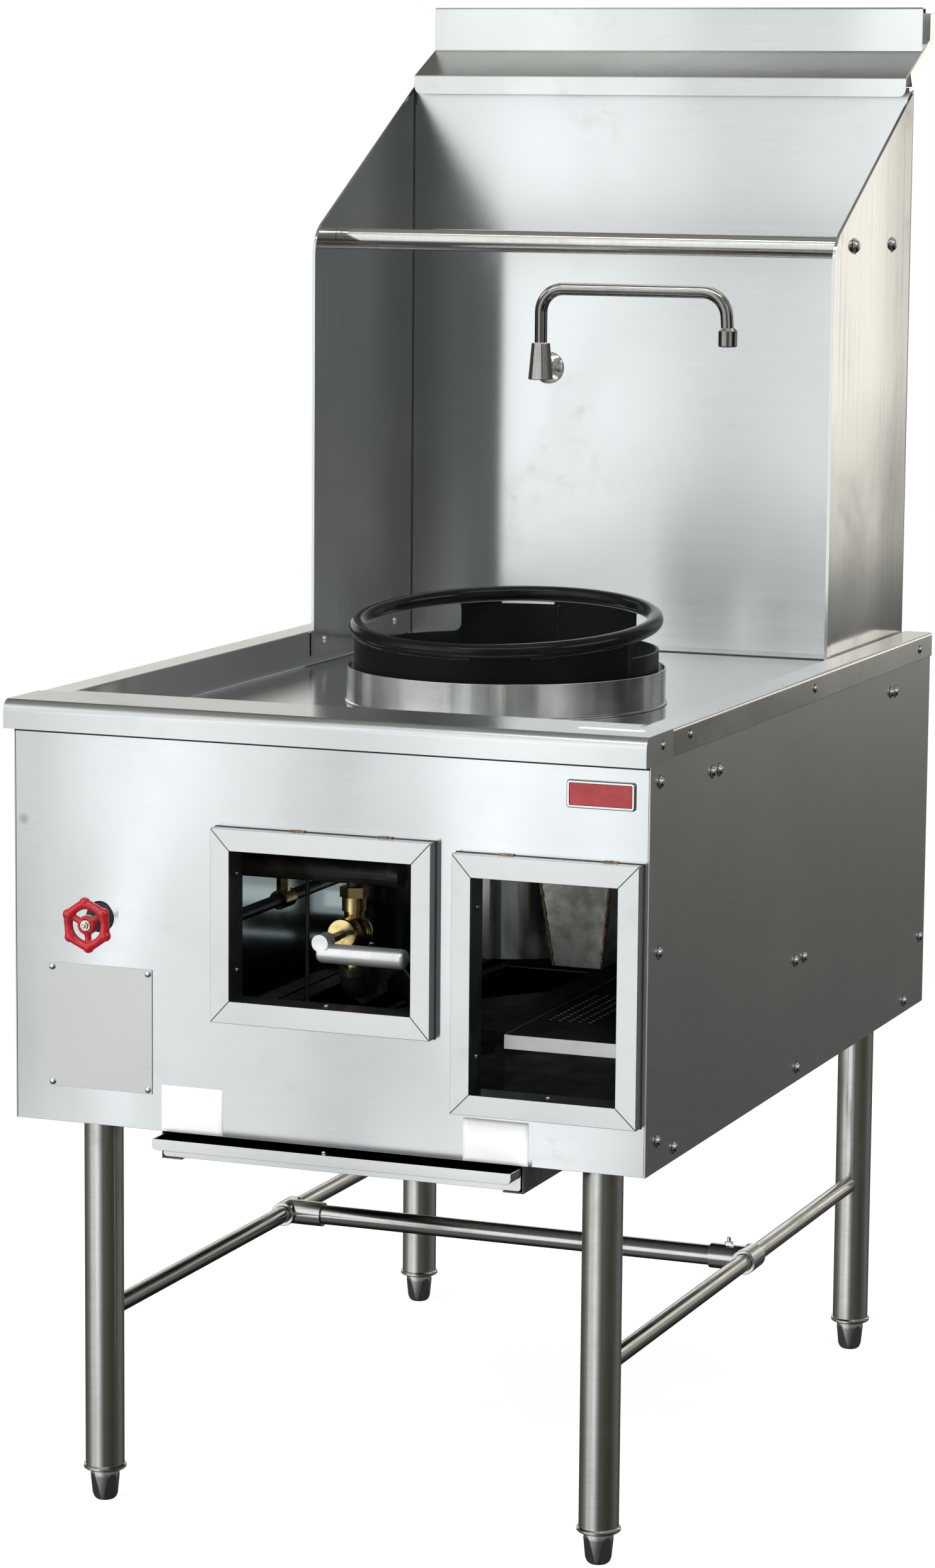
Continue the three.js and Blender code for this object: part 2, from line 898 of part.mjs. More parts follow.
// ---- gas line ----
node(
  "gas_manifold",
  "black_iron",
  join(
    swept(
      bent(
        [
          [41, VALVE.y, MANIFOLD_Z],
          [-305, VALVE.y, MANIFOLD_Z],
          [-305, 1052, MANIFOLD_Z],
        ],
        40,
        6,
      ),
      13.4,
      16,
    ),
    rod(
      [VALVE.x, VALVE.y, MANIFOLD_Z],
      [VALVE.x, VALVE.y, 674.4],
      8,
      14,
    ),
    rod([41.5, VALVE.y, MANIFOLD_Z], [28, VALVE.y, MANIFOLD_Z], 14.6, 16),
  ),
);
node(
  "compression_nut",
  "brass",
  join(
    rod([VALVE.x, VALVE.y, 663.5], [VALVE.x, VALVE.y, 674.1], 15, 6),
    rod([VALVE.x, VALVE.y, 649], [VALVE.x, VALVE.y, 664], 12.6, 20),
  ),
);
node(
  "gas_valve",
  "brass",
  join(
    rod([VALVE.x, VALVE.y, 590.3], [VALVE.x, VALVE.y, 648.7], 10.5, 20),
    solid(
      new THREE.SphereGeometry(20, 16, 10).translate(
        VALVE.x,
        VALVE.y,
        VALVE.z - 3,
      ),
    ),
    turned(
      [
        [0, 97],
        [15.2, 97],
        [16.5, 98.4],
        [16.5, 112],
        [14, 116],
        [14, 130],
        [0, 130],
      ],
      [VALVE.x, 0, VALVE.z],
      "y",
      28,
    ),
    rod([VALVE.x, VALVE.y, 596], [VALVE.x, VALVE.y, 603], 13, 6),
  ),
);
node(
  "valve_spindle",
  "black_iron",
  join(
    rod([VALVE.x, 96.7, VALVE.z], [VALVE.x, 60.3, VALVE.z], 4.4, 12),
    box(VALVE.x - 5.5, VALVE.x + 5.5, 60.3, 84, VALVE.z - 3, VALVE.z + 3),
  ),
);
{
  const grip = turned(
    [
      [0, -19],
      [6.5, -18.2],
      [9.6, -15.6],
      [10.3, -12],
      [10.3, 74],
      [9.4, 77.4],
      [7, 79.6],
      [0, 80.3],
    ],
    [0, 50, 617.8],
    "x",
    20,
  );
  node(
    "lever_grip",
    "aluminium",
    join(grip, rod([VALVE.x, 40.5, VALVE.z], [VALVE.x, 60, VALVE.z], 9, 18)),
  );
}
node(
  "gas_elbow",
  "black_iron",
  join(
    swept(
      bent(
        [
          [VALVE.x, VALVE.y, 589.9],
          [VALVE.x, VALVE.y, 570],
          [VALVE.x, 153.7, 570],
        ],
        11,
        5,
      ),
      14.6,
      18,
    ),
    rod([VALVE.x, VALVE.y, 581], [VALVE.x, VALVE.y, 589.9], 16.4, 20),
    rod([VALVE.x, 147, 570], [VALVE.x, 153.7, 570], 16.4, 20),
  ),
);
node(
  "gas_union",
  "black_iron",
  join(
    rod([VALVE.x, 154, 570], [VALVE.x, 171, 570], 25, 6),
    rod([VALVE.x, 171, 570], [VALVE.x, 186, 570], 18, 8),
  ),
);
node(
  "burner_feed",
  "black_iron",
  swept(
    bent(
      [
        [VALVE.x, 186.3, 570],
        [VALVE.x, 235, 570],
        [VALVE.x, 290, 530],
        [KX, KY, 530],
        [KX, KY, DRUM_BOTTOM - 14.3],
      ],
      [24, 24, 18],
      5,
    ),
    10.5,
    14,
  ),
);
node(
  "pilot_tube",
  "black_iron",
  swept(
    bent(
      [
        [-65, VALVE.y, MANIFOLD_Z - 13.8],
        [-65, VALVE.y, 500],
        [-65, KY - 60, 500],
        [-40, KY - 30, 545],
        [-40, KY - 30, 562],
      ],
      [14, 14, 10],
      4,
    ),
    2.3,
    8,
  ),
);

// ---- water line, handwheel and faucet ----
node(
  "water_pipe",
  "dark_steel",
  swept(
    bent(
      [
        [WHEEL.x, 88, 611],
        [WHEEL.x, 88, 588],
        [WHEEL.x, 840, 588],
        [SPOUT.x, 940, 588],
        [SPOUT.x, 1040, 588],
        [SPOUT.x, 1040, FLANGE_Z],
        [SPOUT.x, 1021, FLANGE_Z],
      ],
      [20, 30, 30, 10, 10],
      5,
    ),
    7,
    12,
  ),
);
node(
  "pipe_tee",
  "brass",
  join(
    cut(
      rod([WHEEL.x, 472, 588], [WHEEL.x, 502, 588], 11, 16),
      rod([WHEEL.x, 460, 588], [WHEEL.x, 520, 588], 7.3, 16),
    ),
    rod([WHEEL.x, 487, 597], [WHEEL.x, 487, 612], 8, 6),
  ),
);
node(
  "water_valve",
  "brass",
  join(
    rod([WHEEL.x, 88, 611.3], [WHEEL.x, 88, 666], 11, 16),
    solid(
      new THREE.SphereGeometry(17, 14, 9).translate(WHEEL.x, 88, WHEEL.z),
    ),
    rod([WHEEL.x, 46, WHEEL.z], [WHEEL.x, 88, WHEEL.z], 10, 16),
    rod([WHEEL.x, 52, WHEEL.z], [WHEEL.x, 62, WHEEL.z], 15, 6),
    rod([WHEEL.x, 88, 611.3], [WHEEL.x, 88, 621], 14.5, 6),
  ),
);
node(
  "valve_stem",
  "polished",
  rod([WHEEL.x, 45.7, WHEEL.z], [WHEEL.x, -3.7, WHEEL.z], 4, 14),
);
{
  const tor = new THREE.TorusGeometry(WHEEL.R, WHEEL.r, 6, 24);
  tor.rotateX(Math.PI / 2);
  tor.translate(WHEEL.x, WHEEL.y, WHEEL.z);
  let w = join(
    solid(tor),
    turned(
      [
        [0, -4],
        [9, -4],
        [9.4, -12.5],
        [8, -14.6],
        [4.4, -14.6],
        [4.4, -18.2],
        [2.3, -18.2],
        [2.3, -20],
        [0, -20],
      ],
      [WHEEL.x, 0, WHEEL.z],
      "y",
      16,
    ),
  );
  // Six grip lobes round the rim, and a spoke to every other one.
  for (let i = 0; i < 6; i++) {
    const a = THREE.MathUtils.degToRad(35 + i * 60);
    const at = (r) => [
      WHEEL.x + r * Math.cos(a),
      WHEEL.y,
      WHEEL.z + r * Math.sin(a),
    ];
    w = w.add(
      solid(new THREE.SphereGeometry(5.6, 8, 5).translate(...at(WHEEL.R + 0.8))),
    );
    if (i % 2 === 0) w = w.add(rod(at(4), at(WHEEL.R - 1), 3.1, 8));
  }
  node("handwheel", "red", w);
}
node(
  "faucet_flange",
  "polished",
  turned(
    [
      [0, 1019.7],
      [7.6, 1019.7],
      [7.6, SHEET_Y - 0.3],
      [19.5, SHEET_Y - 0.3],
      [19.5, 1012.6],
      [17, 1009.6],
      [12.5, 1007.4],
      [10.4, 1005],
      [9.6, 999],
      [0, 999],
    ],
    [SPOUT.x, 0, FLANGE_Z],
    "y",
    28,
  ),
);
{
  const b = hexa(
    rect(SPOUT.x, SPOUT.y, 13.5, 13.5, 1150),
    rect(SPOUT.x, SPOUT.y, 10.2, 10.2, 1194),
  );
  const corner = moved(
    turnedZ(
      hexa(rect(0, 0, 14.6, 14.6, 1149), rect(0, 0, 10.6, 10.6, 1195)),
      45,
    ),
    SPOUT.x,
    SPOUT.y,
    0,
  );
  node("faucet_body", "polished", b.intersect(corner));
}
node(
  "faucet_spout",
  "polished",
  join(
    swept(
      bent(
        [
          [SPOUT.x, SPOUT.y, 1194.3],
          [SPOUT.x, SPOUT.y, SPOUT.z],
          [SPOUT.end, SPOUT.y, SPOUT.z],
          [101.2, SPOUT.y, 1204],
        ],
        [28, 30],
        9,
      ),
      SPOUT.r,
      18,
    ),
    turned(
      [
        [0, 1195],
        [10.2, 1195],
        [11.3, 1196.2],
        [11.3, 1214],
        [8.4, 1217.4],
        [0, 1217.4],
      ],
      [101.2, SPOUT.y, 0],
      "z",
      20,
    ),
  ),
);

// ---- splash wings, back sheet, flue riser and pot rail ----
{
  const back = SHEET_Y - 0.6;
  const outline = [
    [711, 835],
    [back, 835],
    [back, 1496.5],
    [1011, 1495],
    [732, 1337],
    [724, 1331],
    [716.5, 1321.5],
    [712.2, 1312],
    [711, 1302],
  ];
  const hem = [
    [711, 835],
    [723, 835],
    [723, 1301],
    [725, 1309],
    [730.5, 1316.8],
    [738, 1323.3],
    [1009.5, 1477.6],
    [1009.5, 1492.6],
    [732, 1337],
    [724, 1331],
    [716.5, 1321.5],
    [712.2, 1312],
    [711, 1302],
  ];
  for (const [side, s] of [
    ["left", -1],
    ["right", 1],
  ]) {
    const wing = join(
      prism("x", outline, WING_X, WING_X + T_WING),
      prism("x", hem, WING_X - 1, WING_X + 2.4),
      box(WING_X, WING_X + T_WING, 730, back, 834.9, 836),
    );
    node(
      `splash_wing_${side}`,
      "brushed",
      s > 0 ? wing : mirroredX(wing),
    );
  }
}
node(
  "back_sheet",
  "brushed",
  cut(
    box(-WING_X - T_WING, WING_X + T_WING, SHEET_Y, SHEET_Y + T, 832, 1495),
    rod([SPOUT.x, 1010, FLANGE_Z], [SPOUT.x, 1020, FLANGE_Z], 8.2, 20),
  ),
);
node(
  "flue_skin",
  "brushed",
  cut(
    join(
      box(-CAP_X, CAP_X, SKIN_Y - T, SKIN_Y, 866, 1499.4),
      box(-CAP_X, -CAP_X + T, SHEET_Y + T + GAP, SKIN_Y, 866, 1499.4),
      box(CAP_X - T, CAP_X, SHEET_Y + T + GAP, SKIN_Y, 866, 1499.4),
    ),
    rod([SPOUT.x, 1022, FLANGE_Z], [SPOUT.x, 1034, FLANGE_Z], 9, 16),
  ),
);
node(
  "riser_front",
  "brushed",
  prism(
    "x",
    sheet(
      [
        [1002, 1488.5],
        [1002, 1510.5],
        [1067, 1541],
        [1067, 1592.5],
        [1080, 1592.5],
        [1080, 1586],
      ],
      [2, 2, 2, 1.6],
      T,
      2,
    ),
    -CAP_X,
    CAP_X,
  ).subtract(
    join(
      prism(
        "y",
        [
          [CAP_X - 8, 1480],
          [CAP_X + 1, 1480],
          [CAP_X + 1, 1496.5],
          [CAP_X, 1496.5],
          [CAP_X - 1.2, 1492.5],
          [CAP_X - 4, 1489.6],
          [CAP_X - 8, 1488.5],
        ],
        990,
        1004,
      ),
      prism(
        "y",
        [
          [-CAP_X + 8, 1480],
          [-CAP_X - 1, 1480],
          [-CAP_X - 1, 1496.5],
          [-CAP_X, 1496.5],
          [-CAP_X + 1.2, 1492.5],
          [-CAP_X + 4, 1489.6],
          [-CAP_X + 8, 1488.5],
        ],
        990,
        1004,
      ),
    ),
  ),
);
{
  const web = prism(
    "x",
    sheet(
      [
        [REAR_Y, 1587],
        [REAR_Y, 1549.5],
        [SKIN_Y, 1500.4],
      ],
      3,
      T,
      3,
    ),
    -CAP_X,
    CAP_X,
  );
  const side = [
    [SKIN_Y, 1500.4],
    [REAR_Y, 1549.5],
    [REAR_Y, 1587],
    [1100, 1586],
    [1100, 1555],
    [1020, 1516.2],
  ];
  node(
    "riser_rear",
    "brushed",
    join(
      web,
      prism("x", side, CAP_X - T, CAP_X),
      prism("x", side, -CAP_X, -CAP_X + T),
    ),
  );
}
node(
  "pot_rail",
  "polished",
  cut(
    rod(
      [-WING_X + GAP, RAIL_POT.y, RAIL_POT.z],
      [WING_X - GAP, RAIL_POT.y, RAIL_POT.z],
      RAIL_POT.r,
      22,
    ),
    rod(
      [-WING_X - 1, RAIL_POT.y, RAIL_POT.z],
      [WING_X + 1, RAIL_POT.y, RAIL_POT.z],
      RAIL_POT.r - 1.5,
      16,
    ),
  ),
);

// ---- drip tray and its runners ----
{
  const { x0, x1, y0, y1, z0, z1 } = TRAY,
    t = 1.5,
    step = 410.2;
  const u = (za, r) => [
    [x0, z1],
    [x0, za + r],
    [x0 + 0.29 * r, za + 0.29 * r],
    [x0 + r, za],
    [x1 - r, za],
    [x1 - 0.29 * r, za + 0.29 * r],
    [x1, za + r],
    [x1, z1],
  ];
  const ui = (za, r) => [
    [x0 + t, z1 + 1],
    [x0 + t, za + r],
    [x0 + r, za + t],
    [x1 - r, za + t],
    [x1 - t, za + r],
    [x1 - t, z1 + 1],
  ];
  const body = cut(
    prism("y", u(z0, 3), PANEL_Y - t, y1),
    prism("y", ui(z0, 3), PANEL_Y, y1 - t),
  );
  const scoop = cut(
    prism("y", u(step, 5), y0, PANEL_Y),
    prism("y", ui(step, 5), y0 + t, PANEL_Y - t + 0.01),
  );
  node(
    "drip_tray",
    "brushed",
    cut(
      join(body, scoop),
      prism("y", ui(step, 5), y0 + t, PANEL_Y + 6),
    ),
  );
}
for (const [side, x0, x1, f0, f1] of [
  ["left", TRAY.x0 - 2.5, TRAY.x0 - 0.9, TRAY.x0 - 2.5, TRAY.x0 + 20],
  ["right", TRAY.x1 + 0.9, TRAY.x1 + 2.5, TRAY.x1 - 20, TRAY.x1 + 2.5],
])
  node(
    `tray_runner_${side}`,
    "dark_steel",
    join(
      box(x0, x1, PANEL_Y, 900, 394.8, 423.1),
      box(f0, f1, PANEL_Y, 900, 394.8, 396.4),
      box(
        side === "left" ? x0 - 12 : x0,
        side === "left" ? x1 : x1 + 12,
        PANEL_Y + 24,
        900,
        421,
        422.6,
      ),
    ),
  );

// ---- plates on the front panel ----
node(
  "rating_plate",
  "aluminium",
  box(-309, -190.5, PANEL_Y - 1.1, PANEL_Y - 0.3, 461, 591.5),
);
{
  const b = [
    [263, 789.7],
    [331, 789.7],
    [333, 791.7],
    [333, 816.2],
    [331, 818.2],
    [263, 818.2],
    [261, 816.2],
    [261, 791.7],
  ];
  node("badge", "red", prism("y", b, PANEL_Y - 3.4, PANEL_Y - 0.3));
}

export default root;
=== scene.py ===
import math

import bmesh
import bpy
from mathutils import Matrix, Vector


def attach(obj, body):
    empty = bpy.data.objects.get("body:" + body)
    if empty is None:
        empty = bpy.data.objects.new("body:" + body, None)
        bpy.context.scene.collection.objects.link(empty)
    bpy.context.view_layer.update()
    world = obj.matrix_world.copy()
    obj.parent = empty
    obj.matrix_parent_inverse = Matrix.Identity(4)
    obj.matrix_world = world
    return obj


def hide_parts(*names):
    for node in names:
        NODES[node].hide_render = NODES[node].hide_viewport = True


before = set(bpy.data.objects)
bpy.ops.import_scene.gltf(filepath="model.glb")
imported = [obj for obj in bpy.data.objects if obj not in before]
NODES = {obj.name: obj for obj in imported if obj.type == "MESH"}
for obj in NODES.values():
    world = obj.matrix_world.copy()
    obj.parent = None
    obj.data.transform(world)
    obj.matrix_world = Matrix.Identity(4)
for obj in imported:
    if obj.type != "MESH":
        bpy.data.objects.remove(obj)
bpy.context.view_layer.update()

SCENE = bpy.context.scene
YM = 0.549  # metres from the front apron's face to the frame's origin
MM = 0.001
DECK_Z, RIM_Z = 825.0, 865.5


def P(x, y, z):
    """A point in millimetres, y counted from the front apron's face, in the frame's metres."""
    return Vector((x * MM, y * MM - YM, z * MM))


# ------------------------------------------------------------------ camera
YAW, PITCH, ROLL = math.radians(21.48043), math.radians(-8.41175), math.radians(0.48645)
fwd = Vector(
    (-math.sin(YAW) * math.cos(PITCH), math.cos(YAW) * math.cos(PITCH), math.sin(PITCH))
)
right = Vector((math.cos(YAW), math.sin(YAW), 0))
up = right.cross(fwd)
r2 = right * math.cos(ROLL) + up * math.sin(ROLL)
u2 = -right * math.sin(ROLL) + up * math.cos(ROLL)
cam_data = bpy.data.cameras.new("Camera")
cam_data.sensor_width = 36
cam_data.sensor_fit = "AUTO"
cam_data.lens = 7157.164 * 36 / 2490
cam_data.clip_start, cam_data.clip_end = 0.05, 200
cam = bpy.data.objects.new("Camera", cam_data)
SCENE.collection.objects.link(cam)
m = Matrix.Identity(4)
for i in range(3):
    m[i][0], m[i][1], m[i][2] = r2[i], u2[i], -fwd[i]
m[0][3], m[1][3], m[2][3] = 1.776593, -4.099332 - YM, 1.460819
cam.matrix_world = m
SCENE.camera = cam


# ------------------------------------------------------------------ materials
class Mat:
    """A node material: small helpers over the principled shader."""

    def __init__(self, name):
        self.m = bpy.data.materials.new(name)
        self.m.use_nodes = True
        self.t = self.m.node_tree
        self.b = next(n for n in self.t.nodes if n.type == "BSDF_PRINCIPLED")
        self.co = self.t.nodes.new("ShaderNodeTexCoord").outputs["Object"]

    def new(self, kind, **values):
        n = self.t.nodes.new(kind)
        for k, v in values.items():
            if hasattr(n, k):
                setattr(n, k, v)
            else:
                n.inputs[k.replace("_", " ")].default_value = v
        return n

    def link(self, a, b):
        self.t.links.new(a, b)

    def set(self, **values):
        for k, v in values.items():
            self.b.inputs[k.replace("_", " ")].default_value = v
        return self

    def scaled(self, x, y, z, offset=(0, 0, 0)):
        n = self.new("ShaderNodeMapping")
        n.inputs["Scale"].default_value = (x, y, z)
        n.inputs["Location"].default_value = offset
        self.link(self.co, n.inputs["Vector"])
        return n.outputs["Vector"]

    def noise(self, vector, scale=1.0, detail=3.0, rough=0.55, distortion=0.0):
        n = self.new("ShaderNodeTexNoise")
        n.inputs["Scale"].default_value = scale
        n.inputs["Detail"].default_value = detail
        n.inputs["Roughness"].default_value = rough
        n.inputs["Distortion"].default_value = distortion
        self.link(vector, n.inputs["Vector"])
        return n.outputs["Fac"]

    def remap(self, value, a, b, lo, hi, smooth=False):
        n = self.new("ShaderNodeMapRange")
        if smooth:
            n.interpolation_type = "SMOOTHSTEP"
        n.inputs["From Min"].default_value = a
        n.inputs["From Max"].default_value = b
        n.inputs["To Min"].default_value = lo
        n.inputs["To Max"].default_value = hi
        self.link(value, n.inputs["Value"])
        return n.outputs["Result"]

    def math(self, op, a, b=None):
        n = self.new("ShaderNodeMath")
        n.operation = op
        for i, v in enumerate([a, b]):
            if v is None:
                continue
            if isinstance(v, (int, float)):
                n.inputs[i].default_value = v
            else:
                self.link(v, n.inputs[i])
        return n.outputs[0]

    def mix(self, fac, a, b):
        n = self.new("ShaderNodeMix")
        n.data_type = "RGBA"
        self.link(fac, n.inputs["Factor"])
        for sock, v in (("A", a), ("B", b)):
            s = [i for i in n.inputs if i.name == sock and i.type == "RGBA"][0]
            if isinstance(v, tuple):
                s.default_value = (*v[:3], 1)
            else:
                self.link(v, s)
        return [o for o in n.outputs if o.type == "RGBA"][0]

    def fixed(self, axis):
        """A constant direction."""
        v = self.new("ShaderNodeCombineXYZ")
        for q in range(3):
            v.inputs[q].default_value = axis[q]
        return v.outputs[0]

    def across(self, axis):
        """The direction in the surface that runs across the brushing, along which highlights spread."""
        g = self.new("ShaderNodeNewGeometry")
        d = self.new("ShaderNodeVectorMath")
        d.operation = "DOT_PRODUCT"
        self.link(g.outputs["Normal"], d.inputs[0])
        d.inputs[1].default_value = axis
        ends = self.math("GREATER_THAN", self.math("ABSOLUTE", d.outputs["Value"]), 0.8)
        other = (0, 0, 1) if axis[1] else (0, 1, 0)
        m = self.new("ShaderNodeMix")
        m.data_type = "VECTOR"
        self.link(ends, m.inputs["Factor"])
        for sock, v in (("A", axis), ("B", other)):
            [i for i in m.inputs if i.name == sock and i.type == "VECTOR"][0].default_value = v
        c = self.new("ShaderNodeVectorMath")
        c.operation = "CROSS_PRODUCT"
        self.link(g.outputs["Normal"], c.inputs[0])
        self.link([o for o in m.outputs if o.type == "VECTOR"][0], c.inputs[1])
        return c.outputs["Vector"]

    def bump(self, height, distance, strength=1.0, after=None):
        n = self.new("ShaderNodeBump")
        n.inputs["Strength"].default_value = strength
        n.inputs["Distance"].default_value = distance
        self.link(height, n.inputs["Height"])
        if after is not None:
            self.link(after, n.inputs["Normal"])
        return n.outputs["Normal"]


AXES = {"x": (1, 0, 0), "y": (0, 1, 0), "z": (0, 0, 1)}


def steel(
    name,
    along="x",
    tint=(0.74, 0.745, 0.75),
    rough=0.24,
    grain=0.05,
    smudge=0.05,
    wave=0.35,
    aniso=0.5,
    round_axis=None,
    spot=None,
    painted_shade=None,
    lines_gain=1.0,
    ripple=0.0,
):
    """Brushed sheet: fine lines along one axis, soft streaks, hand smudges and a slight waviness, with optional painted
    shade darkening the tint towards one end.
    """
    w = Mat(name)
    k = [2200.0, 2200.0, 2200.0]
    s = [140.0, 140.0, 140.0]
    i = "xyz".index(along)
    k[i], s[i] = 26.0, 1.1
    lines = w.noise(w.scaled(*k, offset=(3.1, 1.7, 0.4)), 1, 3, 0.7)
    streak = w.noise(w.scaled(*s, offset=(0.3, 2.7, 5.4)), 1, 3, 0.55)
    hand = w.noise(w.scaled(4.5, 4.5, 4.5, offset=(7, 3, 1)), 1, 5, 0.6, 0.5)
    touch = w.noise(w.scaled(38, 38, 38, offset=(2, 9, 4)), 1, 4, 0.6, 0.3)
    hand_r = w.remap(hand, 0.45, 0.72, 0, 1, True)
    touch_r = w.math("MULTIPLY", w.remap(touch, 0.52, 0.75, 0, 1, True), hand_r)
    r = w.math("ADD", w.remap(lines, 0.25, 0.75, rough - grain / 2, rough + grain / 2), w.remap(streak, 0.3, 0.7, -0.006, 0.006))
    r = w.math("ADD", r, w.math("MULTIPLY", hand_r, smudge))
    r = w.math("ADD", r, w.math("MULTIPLY", touch_r, smudge))
    w.link(r, w.b.inputs["Roughness"])
    dark = tuple(q * (1 - 0.07 * lines_gain) for q in tint)
    c = w.mix(w.remap(lines, 0.25, 0.75, 0, 1), dark, tint)
    c = w.mix(w.remap(streak, 0.35, 0.7, 0.3, 0.0), c, dark)
    c = w.mix(w.math("MULTIPLY", touch_r, 0.14), c, (0.5, 0.49, 0.47))
    if spot:
        d = w.new("ShaderNodeVectorMath")
        d.operation = "DISTANCE"
        w.link(w.co, d.inputs[0])
        d.inputs[1].default_value = spot
        c = w.mix(w.remap(d.outputs["Value"], 0.001, 0.0085, 0.55, 0, True), c, (0.3, 0.3, 0.3))
    if painted_shade:
        # Painted shade: the tint darkens towards one end, fitted to the photograph.
        j, v0, v1, m = painted_shade
        q = w.new("ShaderNodeSeparateXYZ")
        w.link(w.co, q.inputs[0])
        c = w.mix(w.remap(q.outputs[j], v0, v1, 0, 1, True), c, tuple(m * v for v in tint))
    w.link(c, w.b.inputs["Base Color"])
    low = w.noise(w.scaled(3.2, 3.2, 3.2, offset=(1, 5, 2)), 1, 1, 0.4)
    n = w.bump(low, 0.004 * wave, 0.5)
    if ripple:
        # Upright rolling marks.
        n = w.bump(w.noise(w.scaled(85, 85, 1.5, offset=(6, 2, 3)), 1, 2, 0.5), 0.001 * ripple, 0.6, n)
    n = w.bump(lines, 0.00002, 0.3 * lines_gain, n)
    w.link(n, w.b.inputs["Normal"])
    w.set(Metallic=1.0, Anisotropic=aniso)
    if round_axis:
        w.link(w.fixed(AXES[round_axis]), w.b.inputs["Tangent"])
    elif aniso:
        w.link(w.across(AXES[along]), w.b.inputs["Tangent"])
    return w.m


def tube_steel(name, along, tint=(0.74, 0.735, 0.7), rough=0.16, aniso=0.55, under=1.0, low=-0.45, high=0.15):
    """Satin-polished tube: faint rings and lengthwise drawing lines, with optional painted shade darkening the lower
    side.
    """
    w = Mat(name)
    k = [420.0, 420.0, 420.0]
    k["xyz".index(along)] = 9.0
    s = [8.0, 8.0, 8.0]
    s["xyz".index(along)] = 300.0
    line = w.noise(w.scaled(*k), 1, 3, 0.6)
    ring = w.noise(w.scaled(*s), 1, 2, 0.5)
    stain = w.noise(w.scaled(14, 14, 14, offset=(4, 1, 8)), 1, 4, 0.6, 0.5)
    r = w.math("ADD", w.remap(line, 0.25, 0.75, rough - 0.05, rough + 0.06), w.remap(stain, 0.45, 0.75, 0, 0.1, True))
    w.link(r, w.b.inputs["Roughness"])
    c = w.mix(w.remap(stain, 0.4, 0.75, 0, 0.5, True), tint, tuple(0.82 * q for q in tint))
    c = w.mix(w.remap(ring, 0.35, 0.65, 0.12, 0), c, tuple(0.7 * q for q in tint))
    if under < 1:
        # Painted shade on the lower side: the tint darkens where the normal points down, fitted to the photograph.
        g = w.new("ShaderNodeNewGeometry")
        q = w.new("ShaderNodeSeparateXYZ")
        w.link(g.outputs["Normal"], q.inputs[0])
        c = w.mix(w.remap(q.outputs[2], low, high, 1 - under, 0, True), c, tuple(0.12 * v for v in tint))
    w.link(c, w.b.inputs["Base Color"])
    n = w.bump(w.math("ADD", line, ring), 0.00005, 0.4)
    w.link(n, w.b.inputs["Normal"])
    w.set(Metallic=1.0, Anisotropic=aniso)
    if aniso:
        w.link(w.fixed(AXES[along]), w.b.inputs["Tangent"])
    return w.m


def black_enamel(name, tint=(0.01, 0.0105, 0.012), rough=0.3, worn=(0.35, 0.35, 0.36), edge=0.0, peel=1.0, coat=0.0, dust=0.6, specular=0.5):
    """Black paint over steel: orange peel, dust, and edges worn to metal where edge is above 0."""
    w = Mat(name)
    peel_n = w.noise(w.scaled(420, 420, 420), 1, 2, 0.5)
    film = w.noise(w.scaled(26, 26, 26, offset=(3, 3, 9)), 1, 5, 0.65, 0.4)
    speck = w.noise(w.scaled(900, 900, 900, offset=(1, 6, 2)), 1, 1, 0.5)
    w.link(w.math("ADD", w.remap(film, 0.35, 0.7, rough - 0.04, rough + 0.08, True), w.remap(speck, 0.6, 0.7, 0, 0.05)), w.b.inputs["Roughness"])
    w.set(Specular_IOR_Level=specular)
    dusty = tuple(q * 2.0 + 0.006 for q in tint)
    c = w.mix(w.remap(film, 0.45, 0.75, 0, dust, True), tint, dusty)
    if edge:
        g = w.new("ShaderNodeNewGeometry")
        p = w.math("ADD", g.outputs["Pointiness"], w.remap(film, 0.3, 0.7, -0.03, 0.03))
        e = w.remap(p, 0.56, 0.62, 0, edge, True)
        c = w.mix(e, c, worn)
        w.link(e, w.b.inputs["Metallic"])
    w.link(c, w.b.inputs["Base Color"])
    n = w.bump(peel_n, 0.00008 * peel, 0.5)
    w.link(n, w.b.inputs["Normal"])
    if coat:
        w.set(Coat_Weight=coat, Coat_Roughness=0.15)
    return w.m


def cast(name, tint=(0.035, 0.032, 0.029), rough=0.4, grit=1.0, metallic=0.45):
    """Malleable iron pipe goods: pebbled casting skin with an oily sheen."""
    w = Mat(name)
    big = w.noise(w.scaled(160, 160, 160), 1, 4, 0.6)
    fine = w.noise(w.scaled(900, 900, 900, offset=(5, 2, 7)), 1, 3, 0.6)
    oil = w.noise(w.scaled(30, 30, 30, offset=(9, 2, 4)), 1, 4, 0.6, 0.5)
    w.link(w.remap(oil, 0.35, 0.7, rough - 0.14, rough + 0.14, True), w.b.inputs["Roughness"])
    w.link(w.mix(w.remap(oil, 0.4, 0.75, 0, 0.8, True), tint, tuple(2.2 * q + 0.01 for q in tint)), w.b.inputs["Base Color"])
    n = w.bump(w.math("ADD", big, w.math("MULTIPLY", fine, 0.5)), 0.0004 * grit, 0.6)
    w.link(n, w.b.inputs["Normal"])
    w.set(Metallic=metallic)
    return w.m


